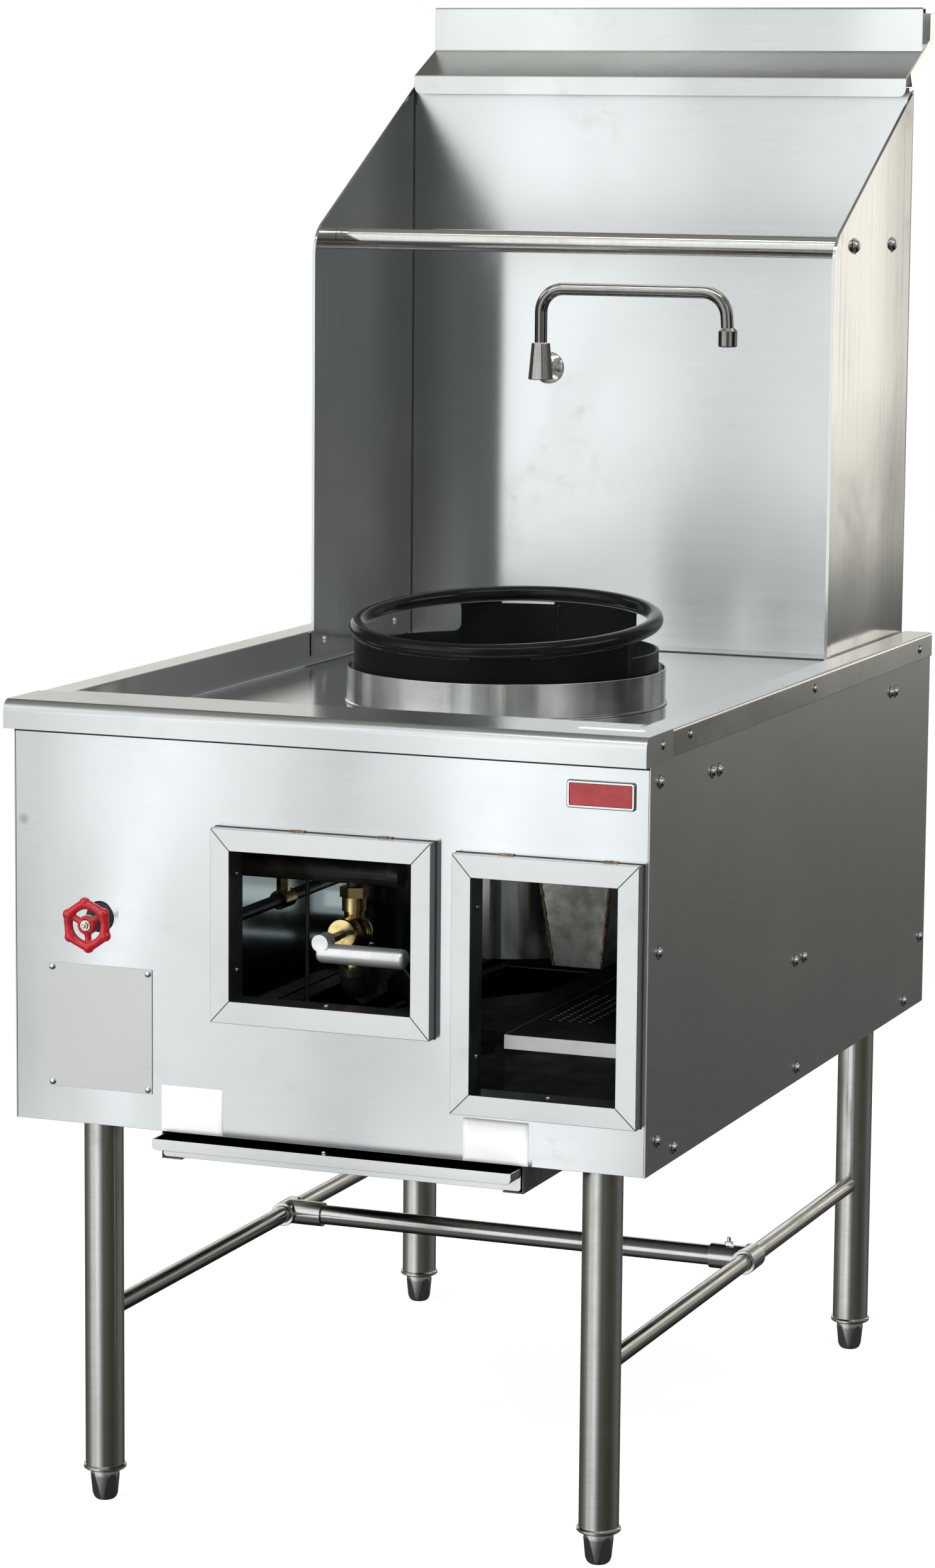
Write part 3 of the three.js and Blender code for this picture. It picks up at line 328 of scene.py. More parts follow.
def brass_mat(name, tint=(0.95, 0.72, 0.34), rough=0.2):
    w = Mat(name)
    turn = w.noise(w.scaled(60, 60, 900), 1, 2, 0.5)
    tarn = w.noise(w.scaled(45, 45, 45, offset=(2, 8, 1)), 1, 5, 0.62, 0.5)
    w.link(w.math("ADD", w.remap(tarn, 0.35, 0.7, rough - 0.05, rough + 0.2, True), w.remap(turn, 0.3, 0.7, -0.03, 0.03)), w.b.inputs["Roughness"])
    w.link(w.mix(w.remap(tarn, 0.42, 0.75, 0, 0.75, True), tint, (0.6, 0.4, 0.16)), w.b.inputs["Base Color"])
    w.link(w.bump(turn, 0.00008, 0.5), w.b.inputs["Normal"])
    w.set(Metallic=1.0)
    return w.m


def satin_alu(name, tint=(0.88, 0.885, 0.89), rough=0.34):
    w = Mat(name)
    brush = w.noise(w.scaled(8, 500, 500), 1, 3, 0.6)
    rub = w.noise(w.scaled(40, 40, 40, offset=(1, 1, 6)), 1, 4, 0.6, 0.4)
    w.link(w.math("ADD", w.remap(brush, 0.3, 0.7, rough - 0.05, rough + 0.05), w.remap(rub, 0.45, 0.75, 0, 0.12, True)), w.b.inputs["Roughness"])
    w.link(w.mix(w.remap(rub, 0.45, 0.8, 0, 0.4, True), tint, (0.66, 0.66, 0.66)), w.b.inputs["Base Color"])
    w.link(w.bump(brush, 0.00005, 0.5), w.b.inputs["Normal"])
    w.set(Metallic=0.85)
    return w.m


def enamel_red(name, tint=(0.42, 0.005, 0.014)):
    w = Mat(name)
    peel = w.noise(w.scaled(300, 300, 300), 1, 2, 0.5)
    pool = w.noise(w.scaled(70, 70, 70, offset=(2, 4, 6)), 1, 4, 0.6, 0.6)
    w.link(w.remap(pool, 0.35, 0.7, 0.16, 0.34, True), w.b.inputs["Roughness"])
    c = w.mix(w.remap(pool, 0.4, 0.72, 0, 0.7, True), tint, (0.24, 0.003, 0.01))
    g = w.new("ShaderNodeNewGeometry")
    e = w.remap(w.math("ADD", g.outputs["Pointiness"], w.remap(pool, 0.3, 0.7, -0.02, 0.02)), 0.57, 0.68, 0, 0.25, True)
    c = w.mix(e, c, (0.45, 0.03, 0.03))
    w.link(c, w.b.inputs["Base Color"])
    w.link(w.bump(w.math("ADD", w.math("MULTIPLY", peel, 0.4), pool), 0.0005, 0.5), w.b.inputs["Normal"])
    w.set(Coat_Weight=0.6, Coat_Roughness=0.08)
    return w.m


def plain_rough(name, tint, shade, rough=0.8, scale=120, bump=0.0004, metallic=0.0):
    w = Mat(name)
    a = w.noise(w.scaled(scale, scale, scale), 1, 5, 0.62)
    b = w.noise(w.scaled(scale / 6, scale / 6, scale / 6, offset=(3, 1, 2)), 1, 4, 0.6, 0.4)
    w.link(w.mix(w.remap(w.math("ADD", w.math("MULTIPLY", a, 0.5), w.math("MULTIPLY", b, 0.5)), 0.35, 0.65, 0, 1, True), tint, shade), w.b.inputs["Base Color"])
    w.link(w.remap(b, 0.3, 0.7, rough - 0.08, rough + 0.08), w.b.inputs["Roughness"])
    w.link(w.bump(a, bump, 0.6), w.b.inputs["Normal"])
    w.set(Metallic=metallic)
    return w.m


M_FRONT = steel("steel_front", "x", spot=P(-337, 20, 739.4)[:], rough=0.135, aniso=0.97, grain=0.02, smudge=0.02, wave=1.4, tint=(0.765, 0.77, 0.775))
M_SIDE = steel("steel_side", "y", rough=0.28, aniso=0.6, tint=(0.66, 0.665, 0.655), grain=0.02, smudge=0.02, lines_gain=0.25, wave=0.15)
M_TOP = steel("steel_top", "x", rough=0.17, aniso=0.95, grain=0.02, smudge=0.03, wave=0.8, tint=(0.79, 0.795, 0.795))
M_DECK = steel("steel_deck", "x", rough=0.14, aniso=0.92, grain=0.02, smudge=0.03, tint=(0.77, 0.77, 0.765))
M_BACK = steel("steel_back", "x", rough=0.19, wave=0.7, aniso=0.97, grain=0.02, smudge=0.03, tint=(0.79, 0.795, 0.8))
# The wing carries painted shade: its tint darkens to 60 % towards its rear edge.
M_WING = steel("steel_wing", "z", rough=0.13, aniso=0.3, grain=0.02, wave=3.0, ripple=0.25, tint=(0.76, 0.765, 0.765), painted_shade=(1, P(0, 850, 0)[1], P(0, 985, 0)[1], 0.6))
M_CAP = steel("steel_cap", "x", rough=0.18, aniso=0.96, grain=0.02, smudge=0.03, wave=1.2, tint=(0.8, 0.805, 0.805))
M_FRAME = steel("steel_frame", "x", tint=(0.79, 0.79, 0.79), rough=0.22, smudge=0.03, grain=0.03)
M_FRAME_Z = steel("steel_frame_upright", "z", tint=(0.79, 0.79, 0.79), rough=0.22, smudge=0.03, grain=0.03)
# The collar carries painted shade: its tint darkens towards its right side.
M_COLLAR = steel("steel_collar", "x", tint=(0.93, 0.93, 0.93), rough=0.17, aniso=0.96, grain=0.03, round_axis="z", wave=0.7, ripple=0.3, painted_shade=(0, 0.105, 0.15, 0.45))
M_DRUM = steel("steel_drum", "z", tint=(0.9, 0.905, 0.91), rough=0.14, aniso=0.85, round_axis="z", wave=0.8, ripple=0.3)
M_LEG = tube_steel("tube_leg", "z")
M_RAIL_Y = tube_steel("tube_rail_y", "y")
M_RAIL_X = tube_steel("tube_rail_x", "x")
# The pot rail and the tap carry painted shade on their lower sides.
M_POT = tube_steel("tube_pot_rail", "x", tint=(0.78, 0.76, 0.72), rough=0.1, under=0.55)
M_TAP = tube_steel("tap_steel", "z", tint=(0.62, 0.6, 0.57), rough=0.1, aniso=0.0, under=0.15, low=-0.25, high=0.42)
M_FLANGE = tube_steel("tap_flange", "z", tint=(0.8, 0.79, 0.77), rough=0.16, aniso=0.0)
M_TEE = steel("steel_tee", "y", tint=(0.78, 0.78, 0.76), rough=0.2, aniso=0.4, grain=0.04)
M_CLAMP = steel("steel_clamp", "y", tint=(0.66, 0.66, 0.65), rough=0.32, grain=0.1)
M_DARK = plain_rough("steel_dull", (0.24, 0.24, 0.24), (0.14, 0.135, 0.13), 0.42, 90, 0.0002, 0.9)
M_BLACK = black_enamel("paint_black")
# A very dark matt black for the base frame and the shelf.
M_BLACK_MATT = black_enamel("paint_black_matt", tint=(0.0035, 0.0037, 0.0042), rough=0.55, dust=0.35, peel=0.5, specular=0.12)
M_RING = black_enamel("ring_black", tint=(0.003, 0.0035, 0.0045), rough=0.15, dust=0.15, peel=0.3, specular=0.26)
M_SKIRT = black_enamel("skirt_black", tint=(0.002, 0.0024, 0.0028), rough=0.42, dust=0.2, specular=0.16)
M_IRON = cast("iron_black")
M_BRASS = brass_mat("brass_machined")
M_ALU = satin_alu("aluminium_satin")
M_PLATE = steel("plate_satin", "x", tint=(0.8, 0.79, 0.77), rough=0.26, aniso=0.9, smudge=0.02, grain=0.02, lines_gain=0.4)
M_RED = enamel_red("enamel_red")
M_BADGE = enamel_red("badge_red", tint=(0.33, 0.006, 0.012))
M_CERAMIC = plain_rough("refractory_cast", (0.5, 0.42, 0.33), (0.28, 0.24, 0.2), 0.9)
M_RUBBER = plain_rough("rubber_black", (0.012, 0.012, 0.012), (0.03, 0.03, 0.03), 0.62, 300, 0.0001)
M_LABEL = plain_rough("label_paper", (0.95, 0.95, 0.95), (0.91, 0.91, 0.905), 0.45, 60, 0.0001)
# Pale duct sheet: painted light, a tint far paler than the dull steel.
M_DUCT_LIGHT_PAINTED = plain_rough("duct_sheet_light_painted", (0.85, 0.83, 0.77), (0.4, 0.38, 0.34), 0.36, 70, 0.0002, 0.85)
M_RAW = steel("steel_raw", "x", tint=(0.8, 0.8, 0.79), rough=0.4, aniso=0.2, smudge=0.1)
M_CHROME = tube_steel("chrome_bezel", "x", tint=(0.8, 0.8, 0.8), rough=0.12)
M_SCREW = tube_steel("screw_bright", "x", tint=(0.92, 0.92, 0.92), rough=0.14)
# Near-black strips and rings: painted shadow in seams, under edges and round screw heads.
M_SHADOW_PAINTED = plain_rough("seam_shadow", (0.03, 0.03, 0.03), (0.06, 0.058, 0.055), 0.7, 200, 0.0001)
M_WELD = plain_rough("weld_tint", (0.42, 0.3, 0.17), (0.16, 0.1, 0.06), 0.4, 260, 0.0004, 0.85)


# ------------------------------------------------------------------ mesh helpers
def shade(obj, angle=35):
    me = obj.data
    me.polygons.foreach_set("use_smooth", [True] * len(me.polygons))
    me.set_sharp_from_angle(angle=math.radians(angle))
    me.update()


def piece(name, bm, material, body="range_body", angle=35, loc=None):
    bmesh.ops.recalc_face_normals(bm, faces=bm.faces)
    me = bpy.data.meshes.new(name)
    bm.to_mesh(me)
    bm.free()
    for mt in material if isinstance(material, (list, tuple)) else [material]:
        me.materials.append(mt)
    o = bpy.data.objects.new(name, me)
    SCENE.collection.objects.link(o)
    if loc is not None:
        o.location = loc
    shade(o, angle)
    if angle <= 40:
        n = o.modifiers.new("normals", "WEIGHTED_NORMAL")
        n.weight, n.keep_sharp = 80, True
    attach(o, body)
    return o


def finish_node(name, material, bevel=0.4, segments=2, angle=32, smooth=38):
    """A CAD node keeps its mesh: it gets its finish, softened edges and smooth curved faces."""
    o = NODES[name]
    me = o.data
    me.materials.clear()
    me.materials.append(material)
    if me.has_custom_normals:
        me.attributes.remove(me.attributes["custom_normal"])
    w = o.modifiers.new("weld", "WELD")
    w.merge_threshold = 0.00001
    if bevel:
        d = o.modifiers.new("flat", "DECIMATE")
        d.decimate_type = "DISSOLVE"
        d.angle_limit = math.radians(0.4)
        b = o.modifiers.new("edge", "BEVEL")
        b.width = bevel * MM
        b.segments = segments
        b.limit_method = "ANGLE"
        b.angle_limit = math.radians(angle)
        b.use_clamp_overlap = True
        b.miter_outer = "MITER_ARC"
    me.polygons.foreach_set("use_smooth", [True] * len(me.polygons))
    for e in me.edges:
        e.use_edge_sharp = False
    s = o.modifiers.new("smooth", "NODES")
    s.node_group = smooth_group(smooth)
    n = o.modifiers.new("normals", "WEIGHTED_NORMAL")
    n.weight, n.keep_sharp = 80, True
    return o


_groups = {}


def smooth_group(angle):
    """Smooth shading, but for edges sharper than an angle."""
    if angle in _groups:
        return _groups[angle]
    g = bpy.data.node_groups.new(f"smooth_{angle}", "GeometryNodeTree")
    g.interface.new_socket("Geometry", in_out="INPUT", socket_type="NodeSocketGeometry")
    g.interface.new_socket("Geometry", in_out="OUTPUT", socket_type="NodeSocketGeometry")
    a, z = g.nodes.new("NodeGroupInput"), g.nodes.new("NodeGroupOutput")
    ang = g.nodes.new("GeometryNodeInputMeshEdgeAngle")
    cmp_ = g.nodes.new("FunctionNodeCompare")
    cmp_.data_type, cmp_.operation = "FLOAT", "LESS_EQUAL"
    cmp_.inputs[1].default_value = math.radians(angle)
    g.links.new(ang.outputs["Unsigned Angle"], cmp_.inputs[0])
    f = g.nodes.new("GeometryNodeSetShadeSmooth")
    f.domain = "FACE"
    e = g.nodes.new("GeometryNodeSetShadeSmooth")
    e.domain = "EDGE"
    g.links.new(a.outputs[0], f.inputs["Geometry"])
    g.links.new(f.outputs["Geometry"], e.inputs["Geometry"])
    g.links.new(cmp_.outputs[0], e.inputs["Shade Smooth"])
    g.links.new(e.outputs["Geometry"], z.inputs[0])
    _groups[angle] = g
    return g


def lathe(bm, profile, at, axis="z", seg=64, closed=False):
    """Turns [radius, height] pairs, in mm, about an axis through at. Ends on the axis close themselves."""
    rings = []
    for r, h in profile:
        if r <= 1e-6:
            rings.append([bm.verts.new(_on(at, axis, 0, 0, h))])
        else:
            rings.append(
                [
                    bm.verts.new(_on(at, axis, r * math.cos(2 * math.pi * k / seg), r * math.sin(2 * math.pi * k / seg), h))
                    for k in range(seg)
                ]
            )
    pairs = list(zip(rings, rings[1:])) + ([(rings[-1], rings[0])] if closed else [])
    for a, b in pairs:
        for k in range(seg):
            j = (k + 1) % seg
            q = [a[k % len(a)], a[j % len(a)], b[j % len(b)], b[k % len(b)]]
            u = []
            for v in q:
                if v not in u:
                    u.append(v)
            if len(u) > 2:
                bm.faces.new(u)
    return rings


def _on(at, axis, a, b, h):
    x, y, z = at
    if axis == "z":
        return P(x + a, y + b, z + h)
    if axis == "y":
        return P(x + a, y + h, z + b)
    return P(x + h, y + a, z + b)


def sweep(bm, path, r, seg=24, caps=True):
    """A tube of radius r mm, or a radius for each point, along a list of points in mm."""
    pts = [Vector(p) for p in path]
    rings, normal, before = [], None, None
    for i, p in enumerate(pts):
        a, b = pts[max(i - 1, 0)], pts[min(i + 1, len(pts) - 1)]
        t = (b - a).normalized()
        if normal is None:
            normal = (Vector((0, 0, 1)).cross(t) if abs(t.z) < 0.9 else Vector((1, 0, 0)).cross(t)).normalized()
        else:
            normal = (before.rotation_difference(t) @ normal).normalized()
        before = t
        bi = t.cross(normal)
        rr = r[i] if isinstance(r, (list, tuple)) else r
        rings.append(
            [bm.verts.new(P(*(p + normal * rr * math.cos(2 * math.pi * k / seg) + bi * rr * math.sin(2 * math.pi * k / seg)))) for k in range(seg)]
        )
    for a, b in zip(rings, rings[1:]):
        for k in range(seg):
            bm.faces.new([a[k], a[(k + 1) % seg], b[(k + 1) % seg], b[k]])
    if caps:
        bm.faces.new(list(reversed(rings[0])))
        bm.faces.new(rings[-1])


def rounded(points, radius, n=10):
    """A corner path with rounded corners."""
    pts = [Vector(p) for p in points]
    out = [pts[0]]
    for i in range(1, len(pts) - 1):
        r = radius[i - 1] if isinstance(radius, (list, tuple)) else radius
        u, v = (pts[i - 1] - pts[i]).normalized(), (pts[i + 1] - pts[i]).normalized()
        half = math.acos(max(-1, min(1, u.dot(v)))) / 2
        k = r / math.tan(half)
        c = pts[i] + (u + v).normalized() * (r / math.sin(half))
        s, e = pts[i] + u * k - c, pts[i] + v * k - c
        turn = s.angle(e)
        for j in range(n + 1):
            t = j / n
            out.append(c + s * (math.sin((1 - t) * turn) / math.sin(turn)) + e * (math.sin(t * turn) / math.sin(turn)))
    out.append(pts[-1])
    return out


def block(bm, x0, x1, y0, y1, z0, z1, bevel=0.0, seg=2):
    """A box in mm, its edges rounded."""
    v = [bm.verts.new(P(x, y, z)) for x in (x0, x1) for y in (y0, y1) for z in (z0, z1)]
    f = [(0, 1, 3, 2), (4, 6, 7, 5), (0, 4, 5, 1), (2, 3, 7, 6), (0, 2, 6, 4), (1, 5, 7, 3)]
    faces = [bm.faces.new([v[i] for i in q]) for q in f]
    if bevel:
        edges = list({e for q in faces for e in q.edges})
        bmesh.ops.bevel(bm, geom=edges, offset=bevel * MM, segments=seg, affect="EDGES", profile=0.5, clamp_overlap=True)


def slab(bm, pts, axis, a, b, bevel=0.0, seg=2):
    """A flat outline, in mm, drawn out along one axis, its edges rounded."""

    def at(p, h):
        return P(h, p[0], p[1]) if axis == "x" else P(p[0], h, p[1]) if axis == "y" else P(p[0], p[1], h)

    lo, hi = [bm.verts.new(at(p, a)) for p in pts], [bm.verts.new(at(p, b)) for p in pts]
    faces = [bm.faces.new(lo), bm.faces.new(list(reversed(hi)))]
    for i in range(len(pts)):
        j = (i + 1) % len(pts)
        faces.append(bm.faces.new([lo[j], lo[i], hi[i], hi[j]]))
    if bevel:
        edges = list({e for q in faces for e in q.edges})
        bmesh.ops.bevel(bm, geom=edges, offset=bevel * MM, segments=seg, affect="EDGES", profile=0.5, clamp_overlap=True)


def dome_head(bm, at, direction, r=4.6, h=2.4, seg=20, slot=True, turn=0.4):
    """A pan head with a cross recess, or a plain domed head."""
    d = Vector(direction).normalized()
    u = d.orthogonal().normalized()
    u = Matrix.Rotation(turn, 3, d) @ u
    v = d.cross(u)
    A = Vector(at)

    def pt(x, y, z):
        return P(*(A + u * x + v * y + d * z))

    prof = [(1.0, -0.35), (1.0, 0.16), (0.95, 0.42), (0.82, 0.68), (0.6, 0.88), (0.34, 0.98)]
    if slot:
        prof[-1] = (0.42, 0.97)
    rings = [[bm.verts.new(pt(r * q * math.cos(2 * math.pi * k / seg), r * q * math.sin(2 * math.pi * k / seg), h * z)) for k in range(seg)] for q, z in prof]
    for a, b in zip(rings, rings[1:]):
        for k in range(seg):
            bm.faces.new([a[k], a[(k + 1) % seg], b[(k + 1) % seg], b[k]])
    bm.faces.new(list(reversed(rings[0])))
    if not slot:
        top = bm.verts.new(pt(0, 0, h))
        for k in range(seg):
            bm.faces.new([rings[-1][k], rings[-1][(k + 1) % seg], top])
        return
    # The recess: the last ring drops to a four-armed floor.
    last = rings[-1]
    arms = []
    for k in range(seg):
        a = 2 * math.pi * k / seg
        w = abs(math.cos(2 * a)) ** 6
        q = r * (0.1 + 0.29 * w)
        arms.append(bm.verts.new(pt(q * math.cos(a), q * math.sin(a), h * 0.93)))
    floor = [bm.verts.new(pt(0.8 * (r * (0.08 + 0.24 * abs(math.cos(2 * 2 * math.pi * k / seg)) ** 6)) * math.cos(2 * math.pi * k / seg), 0.8 * (r * (0.08 + 0.24 * abs(math.cos(2 * 2 * math.pi * k / seg)) ** 6)) * math.sin(2 * math.pi * k / seg), h * 0.3)) for k in range(seg)]
    for a, b in ((last, arms), (arms, floor)):
        for k in range(seg):
            bm.faces.new([a[k], a[(k + 1) % seg], b[(k + 1) % seg], b[k]])
    bm.faces.new(floor)


def heads(name, places, r, h, material=None, cross=True, body="range_body", washer=False):
    bm = bmesh.new()
    for i, (at, d) in enumerate(places):
        if washer:
            dd = Vector(d).normalized()
            base = Vector(at)
            dome_head(bm, base, dd, r * 1.28, 0.9, 20, False, 0)
            base = base + dd * 0.7
            dome_head(bm, base, dd, r, h, 20, cross, 0.4 + 1.7 * i)
        else:
            dome_head(bm, at, d, r, h, 20, cross, 0.4 + 1.7 * i)
    return piece(name, bm, material or M_SCREW, body, 40)


# ------------------------------------------------------------------ finishes of the CAD nodes
for side in ("left", "right"):
    for end in ("front", "rear"):
        finish_node(f"leg_{side}_{end}", M_LEG, 0.25, 2, 50, 40)
        finish_node(f"foot_{side}_{end}", M_CLAMP, 0.5, 3, 25, 35)
    finish_node(f"side_rail_{side}", M_RAIL_Y, 0)
    finish_node(f"tee_clamp_{side}", M_TEE, 0.6, 3, 40)
    finish_node(f"side_panel_{side}", M_SIDE, 0.5)
    finish_node(f"splash_wing_{side}", M_WING, 0.4, 2, 40)
    finish_node(f"tray_runner_{side}", M_DARK, 0.3)
    finish_node(f"window_liner_{side}", M_BLACK, 0.3)
M_INNER = steel("steel_inner", "y", tint=(0.66, 0.67, 0.67), rough=0.1, aniso=0.3, grain=0.03, smudge=0.06)
for side, sign in (("left", 1), ("right", -1)):
    me = NODES[f"side_panel_{side}"].data
    me.materials.append(M_INNER)
    for q in me.polygons:
        if q.normal.x * sign > 0.9:
            q.material_index = 1
finish_node("cross_tube", M_RAIL_X, 0)
finish_node("base_frame", M_BLACK_MATT, 0.3)
finish_node("front_panel", M_FRONT, 0.5)
finish_node("back_panel", M_BACK, 0.3)
finish_node("worktop_pan", M_DECK, 0.4, 2, 40)
finish_node("front_rim", M_TOP, 0.5, 3, 40)
finish_node("burner_collar", M_COLLAR, 0.35, 2, 50)
finish_node("burner_drum", M_DRUM, 0.4, 2, 50)
finish_node("drum_lining", M_CERAMIC, 1.0, 2, 40)
finish_node("burner_head", M_IRON, 1.0, 2, 40)
finish_node("air_duct", M_DARK, 0.4)
finish_node("perforated_shelf", M_BLACK_MATT, 0.3)
finish_node("gas_manifold", M_IRON, 0, smooth=40)
finish_node("compression_nut", M_BRASS, 0.6, 2, 40)
finish_node("gas_valve", M_BRASS, 0.5, 2, 45)
finish_node("valve_spindle", M_BLACK, 0.5)
finish_node("lever_grip", M_ALU, 0.6, 3, 45)
finish_node("gas_elbow", M_IRON, 0.8, 3, 45)
finish_node("gas_union", M_IRON, 1.0, 3, 40)
finish_node("burner_feed", M_IRON, 0, smooth=40)
finish_node("pilot_tube", M_IRON, 0, smooth=50)
finish_node("water_pipe", M_DARK, 0, smooth=40)
finish_node("pipe_tee", M_BRASS, 0.5)
finish_node("water_valve", M_BRASS, 0.5, 2, 45)
finish_node("valve_stem", M_RAIL_Y, 0.3)
finish_node("faucet_flange", M_FLANGE, 0.3, 2, 50)
finish_node("faucet_body", M_TAP, 1.2, 3, 30, 30)
finish_node("faucet_spout", M_TAP, 0.3, 2, 50)
finish_node("back_sheet", M_BACK, 0.3)
finish_node("flue_skin", M_BACK, 0.4)
finish_node("riser_front", M_CAP, 0.3, 2, 40)
finish_node("riser_rear", M_CAP, 0.3, 2, 40)
# A darker copy of the cap finish for the riser's slanted faces: painted shade, darkening further towards the right.
M_CAP_SHADE_PAINTED = steel("steel_cap_shade_painted", "x", rough=0.2, aniso=0.9, grain=0.02, tint=(0.6, 0.6, 0.57), painted_shade=(0, -0.2, 0.28, 0.42))
me = NODES["riser_front"].data
me.materials.append(M_CAP_SHADE_PAINTED)
for q in me.polygons:
    if q.normal.y < -0.15 and 0.15 < abs(q.normal.z) < 0.95:
        q.material_index = 1
finish_node("pot_rail", M_POT, 0, smooth=40)
finish_node("drip_tray", M_TOP, 0.4, 2, 40)
# The tray floor carries painted shade: its tint falls to near black everywhere in front of its rear part.
M_TRAY = steel("steel_tray_floor_shade_painted", "y", tint=(0.74, 0.74, 0.73), rough=0.3, aniso=0.5, smudge=0.1, painted_shade=(1, P(0, 720, 0)[1], P(0, 640, 0)[1], 0.06))
me = NODES["drip_tray"].data
me.materials.append(M_TRAY)
for q in me.polygons:
    if q.normal.z > 0.8 and q.center.z < P(0, 0, 450)[2] and q.center.y > P(0, 60, 0)[1]:
        q.material_index = 1
finish_node("rating_plate", M_PLATE, 0.3)
finish_node("badge", M_BADGE, 0.3)
finish_node("window_frame_left", M_FRAME, 0.4)
finish_node("window_frame_right", M_FRAME, 0.4)
finish_node("wok_ring", M_RING, 0, smooth=40)
finish_node("handwheel", M_RED, 0, smooth=60)
# Kept out of reflections: the brushed sheets mirrored these more sharply than the photograph does.
for name in ("handwheel", "faucet_spout", "faucet_body", "faucet_flange"):
    NODES[name].visible_glossy = False


# ------------------------------------------------------------------ window frames with mitred corners
FRAMES = {
    "left": ((-118.5, 545.5, 122.5, 746.0), (-97.5, 568.5, 101.5, 723.5)),
    "right": ((145.0, 473.5, 342.5, 737.5), (165.5, 494.5, 320.5, 714.5)),
}
F_Y, PANEL_Y = 4.8, 20.0


def mitred_frame(side):
    (ox0, oz0, ox1, oz1), (ix0, iz0, ix1, iz1) = FRAMES[side]
    g = 0.22  # half of the seam at each mitre
    bm = bmesh.new()
    upright = bm.faces.layers.int.new("upright")
    out = [(ox0, oz0), (ox1, oz0), (ox1, oz1), (ox0, oz1)]
    inn = [(ix0, iz0), (ix1, iz0), (ix1, iz1), (ix0, iz1)]
    back = PANEL_Y - 0.3
    for i in range(4):
        j = (i + 1) % 4
        a, b, c, d = (Vector(q) for q in (out[i], out[j], inn[j], inn[i]))
        along = (b - a).normalized()
        a2, b2, c2, d2 = a + along * g, b - along * g, c - along * g, d + along * g
        pts = [a2, b2, c2, d2]
        slab(bm, [(p.x, p.y) for p in pts], "y", F_Y, F_Y + 1.5, 0.55, 3)
        # The bar's return to the panel, along its outer edge.
        n = Vector((-(b - a).y, (b - a).x)).normalized() * 1.5
        if n.dot(d - a) < 0:
            n = -n
        q = [a2, b2, b2 + n, a2 + n]
        slab(bm, [(p.x, p.y) for p in q], "y", F_Y + 0.6, back, 0.2, 1)
        # And a short lip round the opening.
        q = [d2, c2, c2 - n * 0.8, d2 - n * 0.8]
        slab(bm, [(p.x, p.y) for p in q], "y", F_Y + 0.6, F_Y + 2.0, 0.2, 1)
        for f in bm.faces:
            if f[upright] == 0:
                f[upright] = 1 + i % 2
    for f in bm.faces:
        f.material_index = f[upright] - 1
    o = piece(f"mitred_frame_{side}", bm, (M_FRAME, M_FRAME_Z), "range_body", 40)
    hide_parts(f"window_frame_{side}")


mitred_frame("left")
mitred_frame("right")


# ------------------------------------------------------------------ screws, rivets and bolts
SIDE_SCREWS = [
    (49.4, 816), (210.9, 805), (233.3, 804), (855.6, 812), (873.5, 811), (52.3, 645), (506.4, 559), (538, 558),
    (1000, 503.6), (937.7, 437), (518, 438.4), (53.9, 454), (106, 436.7),
]
APRON_SCREWS = [(49.4, 852.5), (133.4, 853.4), (553.2, 851.1), (966.4, 849.9)]
heads("side_screws_right", [((348.0, y, z), (1, 0, 0)) for y, z in SIDE_SCREWS], 4.6, 3.0, washer=True)
heads("side_screws_left", [((-348.0, y, z), (-1, 0, 0)) for y, z in SIDE_SCREWS], 4.6, 3.0, washer=True)
SPOTS = [((348.0, y, z), 1) for y, z in SIDE_SCREWS] + [((-348.0, y, z), -1) for y, z in SIDE_SCREWS]
SPOTS += [((349.9, y, z), 1) for y, z in APRON_SCREWS] + [((-349.9, y, z), -1) for y, z in APRON_SCREWS]
bm = bmesh.new()
for at, sign in SPOTS:
    r = 6.9 if abs(at[0]) < 349 else 4.9
    lathe(bm, [(0, 0.12 * sign), (r, 0.12 * sign), (r + 0.2, 0.02 * sign), (0, 0.0)], at, "x", 20)
piece("screw_shadow_rings", bm, M_SHADOW_PAINTED, "range_body", 60)
heads("apron_screws_right", [((349.9, y, z), (1, 0, 0)) for y, z in APRON_SCREWS], 3.9, 2.2)
heads("apron_screws_left", [((-349.9, y, z), (-1, 0, 0)) for y, z in APRON_SCREWS], 3.9, 2.2)
heads("wing_bolts_right", [((314.6, 788, 1322), (1, 0, 0)), ((313.5, 939, 1320.6), (1, 0, 0))], 7.2, 4.2, washer=True, cross=False)
heads("wing_bolts_left", [((-314.6, 788, 1322), (-1, 0, 0)), ((-313.5, 939, 1320.6), (-1, 0, 0))], 7.2, 4.2, washer=True, cross=False)
heads("wing_foot_screws", [((311.9, 744.8, 852), (-1, 0, 0)), ((-311.9, 744.8, 852), (1, 0, 0)), ((311.9, 960, 852), (-1, 0, 0)), ((-311.9, 960, 852), (1, 0, 0))], 4.4, 2.6)
heads("plate_rivets", [((x, PANEL_Y - 1.2, z), (0, -1, 0)) for x in (-304.5, -195) for z in (465.5, 587)], 3.6, 2.0, cross=False)
heads("liner_screws_left", [((-97.4, 25, 598), (1, 0, 0)), ((-97.4, 25, 698), (1, 0, 0)), ((2, 25, 568.6), (0, 0, 1))], 3.0, 1.6)
heads("liner_screws_right", [((165.6, 25, 530), (1, 0, 0)), ((165.6, 25, 682), (1, 0, 0)), ((243, 25, 494.6), (0, 0, 1))], 3.0, 1.6)
heads("back_screws", [((x, 1018.2, z), (0, 1, 0)) for x in (-330, -165, 165, 330) for z in (433, 815)], 4.4, 2.6)
heads("skin_screws", [((x, 1028.7, z), (0, 1, 0)) for x in (-296, 296) for z in (900, 1095, 1290, 1470)], 4.4, 2.6)
heads("tray_rivet", [((2.3, 18.6, 416.8), (0, -1, 0))], 2.4, 1.4, cross=False, body="tray_body")


